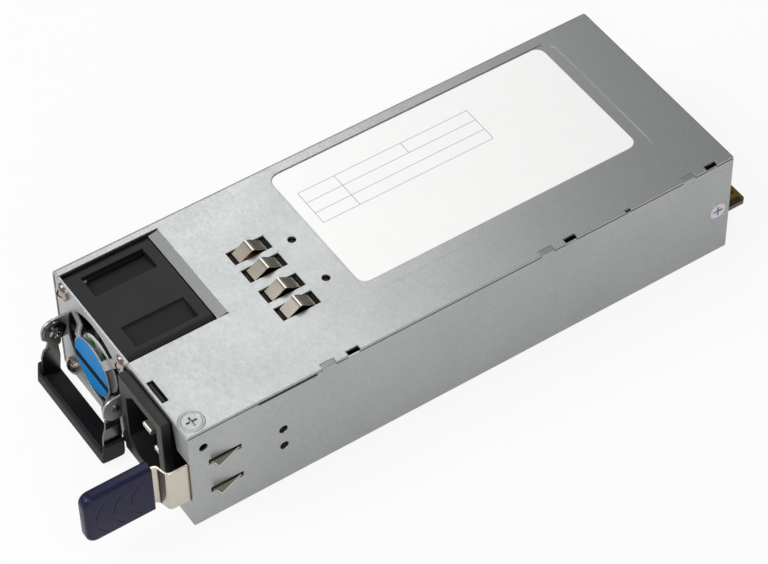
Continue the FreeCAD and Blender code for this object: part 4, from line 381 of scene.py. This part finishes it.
# Line side of the board: fuse, X and Y capacitors, the line filter's toroid, the inrush relay and
# the bridge rectifier. All are bought parts, soldered by their legs. Casings and epoxy are half
# glossy, the sintered core is dull, and lacquer gives the copper a warm brown shine.
yellow_casing = moulded("yellow polyester casing", "#c9a227", 0.42)
black_epoxy = moulded("black epoxy", "#222224", 0.40)
ferrite = moulded("sintered ferrite", "#3b3a3c", 0.60, depth=0.2)
copper_wire = plated("enamelled copper wire", "#8f4f2b", 0.34)
dress(moulded("ceramic tube", "#d8d4c8", 0.35), "fuse")
dress(yellow_casing, "x_capacitor")
dress(moulded("blue epoxy coat", "#23539c", 0.30), "y_capacitors")
dress(ferrite, "line_choke_core")
dress(copper_wire, "line_choke_winding")
dress(black_epoxy, "relay", "bridge_rectifier")


# Power side: boost choke, bulk capacitor, transistors on extruded aluminium heat sinks, the main
# and standby transformers, output choke and output capacitors. The sinks are pale and satin, the
# capacitors' sleeves are glossy, and the transformers are bound in yellow tape.
aluminium = plated("extruded aluminium", "#c4c6c8", 0.38)
shrink_sleeve = moulded("black shrink sleeve", "#1b1b24", 0.28)
dress(ferrite, "boost_choke_core", "output_choke_core", "transformer_core")
dress(copper_wire, "boost_choke_winding", "output_choke_winding")
dress(shrink_sleeve, "bulk_capacitor", "output_capacitors")
dress(aluminium, "primary_heat_sink", "secondary_heat_sink")
dress(black_epoxy, "power_transistors")
dress(moulded("yellow polyester tape", "#cba52c", 0.38), "transformer_winding",
      "standby_transformer")


# Fan: a 38 mm high-pressure axial fan. Housing and impeller are charcoal glass-filled polyester,
# which looks dry and dark. The motor sits in a cup on four struts, and its round label is white
# with four plain green marks.
fan_polyester = moulded("charcoal glass-filled polyester", "#121313", 0.52, gloss=0.4)
eased("fan_frame", "fan_housing", fan_polyester, 0.15, clamp=False)
dress(fan_polyester, "fan_rotor")
dress(copper_wire, "fan_motor")
dress(bright_nickel, "fan_shaft")
dress(moulded("natural nylon", "#e0dccb", 0.40), "fan_connector")
for name, shade in (("fan_wire_yellow", "#e0b416"), ("fan_wire_red", "#b01818"),
                    ("fan_wire_black", "#18181a")):
    dress(moulded(name + " PVC", shade, 0.45, depth=0.04), name)


def centred(tree, where, middle):
    """Object coordinates in millimetres from a middle."""
    shift = add(tree, "Mapping", {"vector_type": "TEXTURE", "Vector": where,
                                  "Location": middle, "Scale": (0.001, 0.001, 0.001)})
    return add(tree, "SeparateXYZ", {"Vector": shift.outputs[0]})


def inside(tree, value, low, high):
    """1 where a value lies between two limits."""
    over = add(tree, "Math", {"operation": "GREATER_THAN", 0: value, 1: low})
    under = add(tree, "Math", {"operation": "LESS_THAN", 0: value, 1: high})
    return add(tree, "Math", {"operation": "MULTIPLY", 0: over.outputs[0],
                              1: under.outputs[0]}).outputs[0]


def bars(tree, across, along, boxes):
    """1 inside any of the boxes, each (low across, high across, low along, high along)."""
    total = None
    for a, b, c, d in boxes:
        one = add(tree, "Math", {"operation": "MULTIPLY", 0: inside(tree, across, a, b),
                                 1: inside(tree, along, c, d)}).outputs[0]
        total = one if total is None else add(tree, "Math", {"operation": "MAXIMUM", 0: total,
                                                             1: one}).outputs[0]
    return total


def printed(name, paper, ink, roughness, node, across, along, boxes, gloss=0.3):
    """Coated label stock with plain bars of one ink. across and along are 0, 1 or 2 for the
    axes, and the boxes are in millimetres from the label's middle."""
    fibre_mm = 4
    material, tree, shader, where = principled(name, index=1.5)
    shader.inputs["Specular IOR Level"].default_value = gloss
    low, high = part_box(node)
    place = centred(tree, where, (low + high) / 2)
    mark = bars(tree, place.outputs[across], place.outputs[along], boxes)
    fibre = add(tree, "TexNoise", {"Vector": where, "Scale": 1000 / fibre_mm, "Detail": 3.0})
    tint = dappled(tree, shader, paper, fibre.outputs["Fac"], (0.97, 1.02),
                   (roughness - 0.04, roughness + 0.04))
    both = add(tree, "Mix", {"data_type": "RGBA", "Factor": mark, 6: tint.outputs[2],
                             7: colour(ink)})
    tree.links.new(both.outputs[2], shader.inputs["Base Color"])
    return material


marks = [(*across, *along) for across in ((-4.6, -1.8), (1.8, 4.6))
         for along in ((4.6, 7.0), (-7.0, -4.6))]
dress(printed("white motor label", "#f8f9f6", "#2fa24c", 0.38, "fan_label", 0, 2, marks),
      "fan_label")


# Front panel: a thin galvanised plate with return flanges, a finger guard pierced in front of the
# fan and two ears for the handle. Its pressed-out disc has a blue label with one black bar, and
# its screws are nickel plated, gone a little brown.
eased("front_panel", "guard_sheet", zinc_sheet, sheet_edge_mm, clamp=False)
black_bar = (-12, 12, -2.9, -0.1)
dress(printed("blue coated film", "#127cc0", "#08090a", 0.36, "guard_disc_label", 0, 2,
              [black_bar], gloss=0.1), "guard_disc_label")
dull_nickel = plated("dull nickel plate", "#aea59e", 0.19)
dress(dull_nickel, "fan_screws")


# Bail handle: two pressed steel arms under dark nickel on shouldered screws, and a black nylon
# grip moulded over their feet, with a raised rim round its flat front. The nylon is soft at all
# its edges and has little gloss.
dress(plated("dark nickel plate", "#73726f", 0.24), "handle_arm_left", "handle_arm_right")
dress(dull_nickel, "handle_screws")

# The grip's long edges are bevelled, and the whole is cut into small cells and smoothed, so that
# every corner runs out as it does in a mould.
grip_nylon = moulded("black grip nylon", "#161617", 0.48, gloss=0.3)
grip_edge_mm, cell_mm, passes, long_edge = 0.7, 0.28, 18, 0.003
mesh = merged("handle_grip")
sharp = [e for e in mesh.edges if e.is_manifold and e.is_convex
         and e.calc_face_angle() > math.radians(60) and e.calc_length() > long_edge]
rounded(mesh, sharp, grip_edge_mm, 4, clamp=False)
grip = made("grip_moulding", mesh, grip_nylon)
cells = grip.modifiers.new("cells", "REMESH")
cells.mode = "VOXEL"
cells.voxel_size = cell_mm / 1000
cells.use_smooth_shade = True
soften = grip.modifiers.new("soften", "SMOOTH")
soften.factor = 0.5
soften.iterations = passes
bpy.context.view_layer.update()
shape = bpy.data.meshes.new_from_object(
    grip.evaluated_get(bpy.context.evaluated_depsgraph_get()))
grip.modifiers.clear()
grip.data = shape
grip.data.materials.clear()
grip.data.materials.append(grip_nylon)
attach(grip, frame["nodes"]["handle_grip"]["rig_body"])
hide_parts("handle_grip")


def block(low, high):
    """A box between two corners."""
    mesh = bmesh.new()
    bmesh.ops.create_cube(mesh, size=1)
    bmesh.ops.transform(mesh, verts=mesh.verts, matrix=(
        Matrix.Translation((low + high) / 2) @ Matrix.Diagonal((*(high - low), 1))))
    return mesh


# The rim is a low rib that runs along the front edge of the grip's sloping top.
end_gap, rib_front, rib_back, rib_foot, rib_top = 0.0030, 0.0012, 0.0018, 0.0030, 0.0043
rib_edge_mm = 0.2
low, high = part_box("handle_grip")
mesh = block(Vector((low.x + end_gap, low.y + rib_front, low.z + rib_foot)),
             Vector((high.x - end_gap, low.y + rib_back, low.z + rib_top)))
rounded(mesh, mesh.edges, rib_edge_mm, 3)
rim = made("grip_rim", mesh, grip_nylon)
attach(rim, frame["nodes"]["handle_grip"]["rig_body"])


# Release latch: a sprung leaf of nickel-plated strip, its foot riveted inside the right wall, two
# barbs through the wall, and a navy nylon touch tab moulded on its end. The nickel is warm and
# satin, and the rivets are blackened.
warm_nickel = plated("warm nickel plate", "#d2cabd", 0.24)
dress(warm_nickel, "latch_foot")
dress(plated("blackened rivet", "#151515", 0.50), "latch_rivets")

# The small arcs at the leaf's crank are drawn back to two corners, given in millimetres from the
# leaf's low corner, and then its folds of about 75 degrees are rounded as a press rounds them.
crank, reach, fold_mm, strip_edge_mm = ((5.35, 13.50), (4.65, 14.00)), 0.0007, 1.2, 0.18
same_height = 1e-5
mesh = merged("latch_leaf")
low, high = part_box("latch_leaf")
for across, along in crank:
    corner = Vector((low.x + across / 1000, low.y + along / 1000))
    for height in {round(vertex.co.z, 5) for vertex in mesh.verts}:
        arc = [v for v in mesh.verts if abs(v.co.z - height) < same_height
               and (v.co.xy - corner).length < reach]
        if arc:
            bmesh.ops.pointmerge(mesh, verts=arc, merge_co=(*corner, arc[0].co.z))
folds = [e for e in mesh.edges if e.is_manifold
         and math.radians(70) < e.calc_face_angle() < math.radians(80)]
rounded(mesh, folds, fold_mm, 5)
eased("latch_leaf", "latch_strip", warm_nickel, strip_edge_mm, mesh=mesh)

# Three crescents are sunk in the tab's face, to give a thumb some hold. They are drawn about
# centres that lie level, one pitch apart, the first just past the tab's inner end.
navy_nylon = moulded("navy tab nylon", "#1c1b37", 0.30, depth=0.03, gloss=0.2)
tree = navy_nylon.node_tree
shader = tree.nodes["Principled BSDF"]
where = add(tree, "TexCoord").outputs["Object"]
low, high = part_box("latch_tab")
radius_mm, bow_mm, line_mm, pitch_mm = 7.5, 4.6, 0.46, 5.5
past_end, under_middle, skin_mm, groove_depth = 0.0003, 0.0007, 0.3, 0.0003
shadow = colour("#0a0a18")
sunk = None
for number in range(3):
    centre = (high.x, high.y + past_end - number * pitch_mm / 1000,
              (low.z + high.z) / 2 - under_middle)
    axes = centred(tree, where, centre)
    flat = add(tree, "CombineXYZ", {"Y": axes.outputs[1], "Z": axes.outputs[2]})
    away = add(tree, "VectorMath", {"operation": "LENGTH", 0: flat.outputs[0]})
    off = add(tree, "Math", {"operation": "SUBTRACT", 0: away.outputs["Value"], 1: radius_mm})
    off = add(tree, "Math", {"operation": "ABSOLUTE", 0: off.outputs[0]})
    line = add(tree, "MapRange", {"Value": off.outputs[0], "From Max": line_mm,
                                  "To Min": 1.0, "To Max": 0.0})
    bowed = add(tree, "Math", {"operation": "LESS_THAN", 0: axes.outputs[1], 1: -bow_mm})
    face = add(tree, "Math", {"operation": "GREATER_THAN", 0: axes.outputs[0], 1: -skin_mm})
    here = add(tree, "Math", {"operation": "MULTIPLY", 0: line.outputs[0],
                              1: bowed.outputs[0]})
    here = add(tree, "Math", {"operation": "MULTIPLY", 0: here.outputs[0], 1: face.outputs[0]})
    sunk = here if sunk is None else add(tree, "Math", {"operation": "MAXIMUM",
                                                        0: sunk.outputs[0], 1: here.outputs[0]})
grained = shader.inputs["Normal"].links[0].from_socket
groove = add(tree, "Bump", {"invert": True, "Height": sunk.outputs[0], "Normal": grained,
                            "Strength": 1.0, "Distance": groove_depth})
tree.links.new(groove.outputs[0], shader.inputs["Normal"])
# The grooves are painted darker too, towards a painted shadow in them.
navy = shader.inputs["Base Color"].links[0].from_socket
shade = add(tree, "Mix", {"data_type": "RGBA", "Factor": sunk.outputs[0], 6: navy, 7: shadow})
tree.links.new(shade.outputs[2], shader.inputs["Base Color"])

# The tab's outer end has round corners, and it is soft all round but for the end that was cut
# off at the gate.
corner_mm, edge_mm, hair = 3.2, 1.1, 1e-5
mesh = block(low, high)
gate = high.y - hair
ends = [e for e in mesh.edges if all(v.co.y < gate for v in e.verts)
        and abs(e.verts[0].co.x - e.verts[1].co.x) > hair]
rounded(mesh, ends, corner_mm, 8)
rims = [e for e in mesh.edges if e.calc_face_angle() > math.radians(40)
        and not all(v.co.y > gate for v in e.verts)]
rounded(mesh, rims, edge_mm, 5)
tab = made("touch_tab", mesh, navy_nylon, crease=50)
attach(tab, frame["nodes"]["latch_tab"]["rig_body"])
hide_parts("latch_tab")


# Top cover with its earthing fingers: the cover is folded from galvanised sheet, and four
# nickel-plated spring fingers, spot welded under it, arch up through its windows. The screws are
# all zinc plated alike: the top one a dull grey, the side ones a lighter, faintly blue
# painted-light copy.
eased("top_cover", "cover_sheet", zinc_sheet, sheet_edge_mm, clamp=False, crease=6)
dress(plated("zinc-plated screw", "#b8b9b9", 0.42), "cover_screw")
# The side screws' lighter, faintly blue shade is painted light, a lit copy of the same zinc
# finish.
dress(plated("zinc-plated screw painted lighter", "#dcdce4", 0.42), "case_screws")

# One strip feeds all four fingers. Each rises from its toe to a narrow ridge and falls back to
# the strip. Seen from the end, the sheet's middle runs through these points, in millimetres
# ahead of the strip's rear edge and above the strip.
profile = ((18.4, 0), (17.5, 0), (13.2, 2.9), (12.2, 2.9), (7.8, 0), (7.0, 0), (0, 0))
starts, finger_mm, strip_mm, sheet_mm, bend_mm = (0, 8.0, 17.2, 25.1), 4.5, 7.0, 0.3, 0.45
least_bend = math.radians(11)
sides = [start + part for start in starts for part in (0, finger_mm)]
low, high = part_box("earth_fingers")
mesh = bmesh.new()
bmesh.ops.create_grid(mesh, x_segments=len(sides) - 1, y_segments=len(profile) - 1, size=1)
for vertex in mesh.verts:
    column = round((vertex.co.x + 1) / 2 * (len(sides) - 1))
    ahead, rise = profile[round((vertex.co.y + 1) / 2 * (len(profile) - 1))]
    vertex.co = (low.x + sides[column] / 1000, high.y - ahead / 1000, low.z + rise / 1000)
middles = {face: face.calc_center_median() for face in mesh.faces}
gaps = [face for face, middle in middles.items() if middle.y < high.y - strip_mm / 1000
        and any(a < (middle.x - low.x) * 1000 < b for a, b in zip(sides[1::2], sides[2::2]))]
bmesh.ops.delete(mesh, geom=gaps, context="FACES")
bent = [e for e in mesh.edges if not e.is_boundary and e.calc_face_angle() > least_bend]
rounded(mesh, bent, bend_mm, 3)
bmesh.ops.solidify(mesh, geom=mesh.faces, thickness=sheet_mm / 1000)
bmesh.ops.recalc_face_normals(mesh, faces=mesh.faces)
bmesh.ops.translate(mesh, verts=mesh.verts,
                    vec=(0, 0, low.z - min(vertex.co.z for vertex in mesh.verts)))

# Where the strip lies flat and low under the cover it is painted dark: painted shade from the
# cover above it.
painted_shade_height = 0.00045
spring_nickel = plated("warm nickel spring strip", "#d2cabd", 0.22)
tree = spring_nickel.node_tree
shader = tree.nodes["Principled BSDF"]
axes = add(tree, "SeparateXYZ", {"Vector": add(tree, "TexCoord").outputs["Object"]})
under = add(tree, "Math", {"operation": "LESS_THAN", 0: axes.outputs[2],
                           1: low.z + painted_shade_height}).outputs[0]
clean = shader.inputs["Base Color"].links[0].from_socket
# Painted shade: the low, flat strip is mixed towards a near black.
painted_shade_mix = add(tree, "Mix", {"data_type": "RGBA", "Factor": under, 6: clean,
                            7: colour("#1c1a19")})
tree.links.new(painted_shade_mix.outputs[2], shader.inputs["Base Color"])
fingers = made("earthing_fingers", mesh, spring_nickel, crease=35)
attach(fingers, frame["nodes"]["earth_fingers"]["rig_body"])
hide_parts("earth_fingers")

# A shallow ring is pressed up round the heads on the cover and on the right wall, where the
# sheet was formed for them. Its section is in millimetres from the screw's axis and the sheet.
ring_section = ((2.85, -0.05), (3.05, 0.06), (3.4, 0.11), (3.75, 0.06), (3.95, -0.05))
ring_steps, screw_inset, screw_height = 72, 0.0042, 0.0182
low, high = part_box("cover_screw")
top_place = Vector(((low.x + high.x) / 2, (low.y + high.y) / 2, high.z))
side_place = Vector((case_high.x, case_high.y - screw_inset, screw_height))
for title, node, place, outward in (("cover_dimple", "top_cover", top_place, (0, 0, 1)),
                                    ("wall_dimple", "chassis", side_place, (1, 0, 0))):
    mesh = bmesh.new()
    corners = [mesh.verts.new((radius / 1000, 0, rise / 1000)) for radius, rise in ring_section]
    edges = [mesh.edges.new((corners[i - 1], corners[i])) for i in range(len(corners))]
    bmesh.ops.spin(mesh, geom=corners + edges, cent=(0, 0, 0), axis=(0, 0, 1),
                   angle=math.tau, steps=ring_steps, use_merge=True)
    bmesh.ops.recalc_face_normals(mesh, faces=mesh.faces)
    turn = Vector((0, 0, 1)).rotation_difference(Vector(outward)).to_matrix().to_4x4()
    bmesh.ops.transform(mesh, matrix=Matrix.Translation(place) @ turn, verts=mesh.verts)
    ring = made(title, mesh, zinc_sheet)
    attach(ring, frame["nodes"][node]["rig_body"])


# Shade patch: a thin black sheet inside the cover's rear right corner, under the notch. It is
# painted shade, put there so that the notch shows dark. It is matt and hardly shows.
right_inset, rear_inset, under_top = 0.0032, 0.0070, 0.0022
film_wide, film_long, film_skin, film_corner_mm = 0.0048, 0.0100, 0.0001, 1.0
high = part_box("top_cover")[1]
mesh = bmesh.new()
bmesh.ops.create_grid(mesh, x_segments=1, y_segments=1, size=0.5)
bmesh.ops.transform(mesh, verts=mesh.verts, matrix=(
    Matrix.Translation(high - Vector((right_inset, rear_inset, under_top)))
    @ Matrix.Diagonal((film_wide, film_long, 1, 1))))
rounded(mesh, mesh.verts, film_corner_mm, 4, affect="VERTICES")
bmesh.ops.solidify(mesh, geom=mesh.faces, thickness=film_skin)
bmesh.ops.recalc_face_normals(mesh, faces=mesh.faces)
shade_patch = made("notch_shade_patch", mesh, moulded("black sheet for painted shade", "#101012", 0.55,
                                               gloss=0.2), crease=0)
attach(shade_patch, frame["nodes"]["top_cover"]["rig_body"])


# Rating label: coated white paper with round corners, stuck in the cover's recess. It is half
# matt and blank, but for the grey rules of an empty table.

# Each rule runs from one place to another across the label, and from one to another along it,
# in millimetres from its middle.
left, inner, front, rear, half_rule = -14.9, -1.2, -44.05, 14.85, 0.09
first_row, second_row, heading, split = -10.3, -5.7, -31.65, -8.65
rules = ((left, left, front, rear), (inner, inner, front, rear), (left, inner, front, front),
         (left, inner, rear, rear), (first_row, first_row, front, rear),
         (second_row, second_row, front, rear), (left, inner, heading, heading),
         (left, first_row, split, split))
boxes = [(a - half_rule, b + half_rule, c - half_rule, d + half_rule) for a, b, c, d in rules]
dress(printed("white coated paper", "#fbfbfa", "#8f8f8f", 0.42, "rating_label", 0, 1, boxes),
      "rating_label")
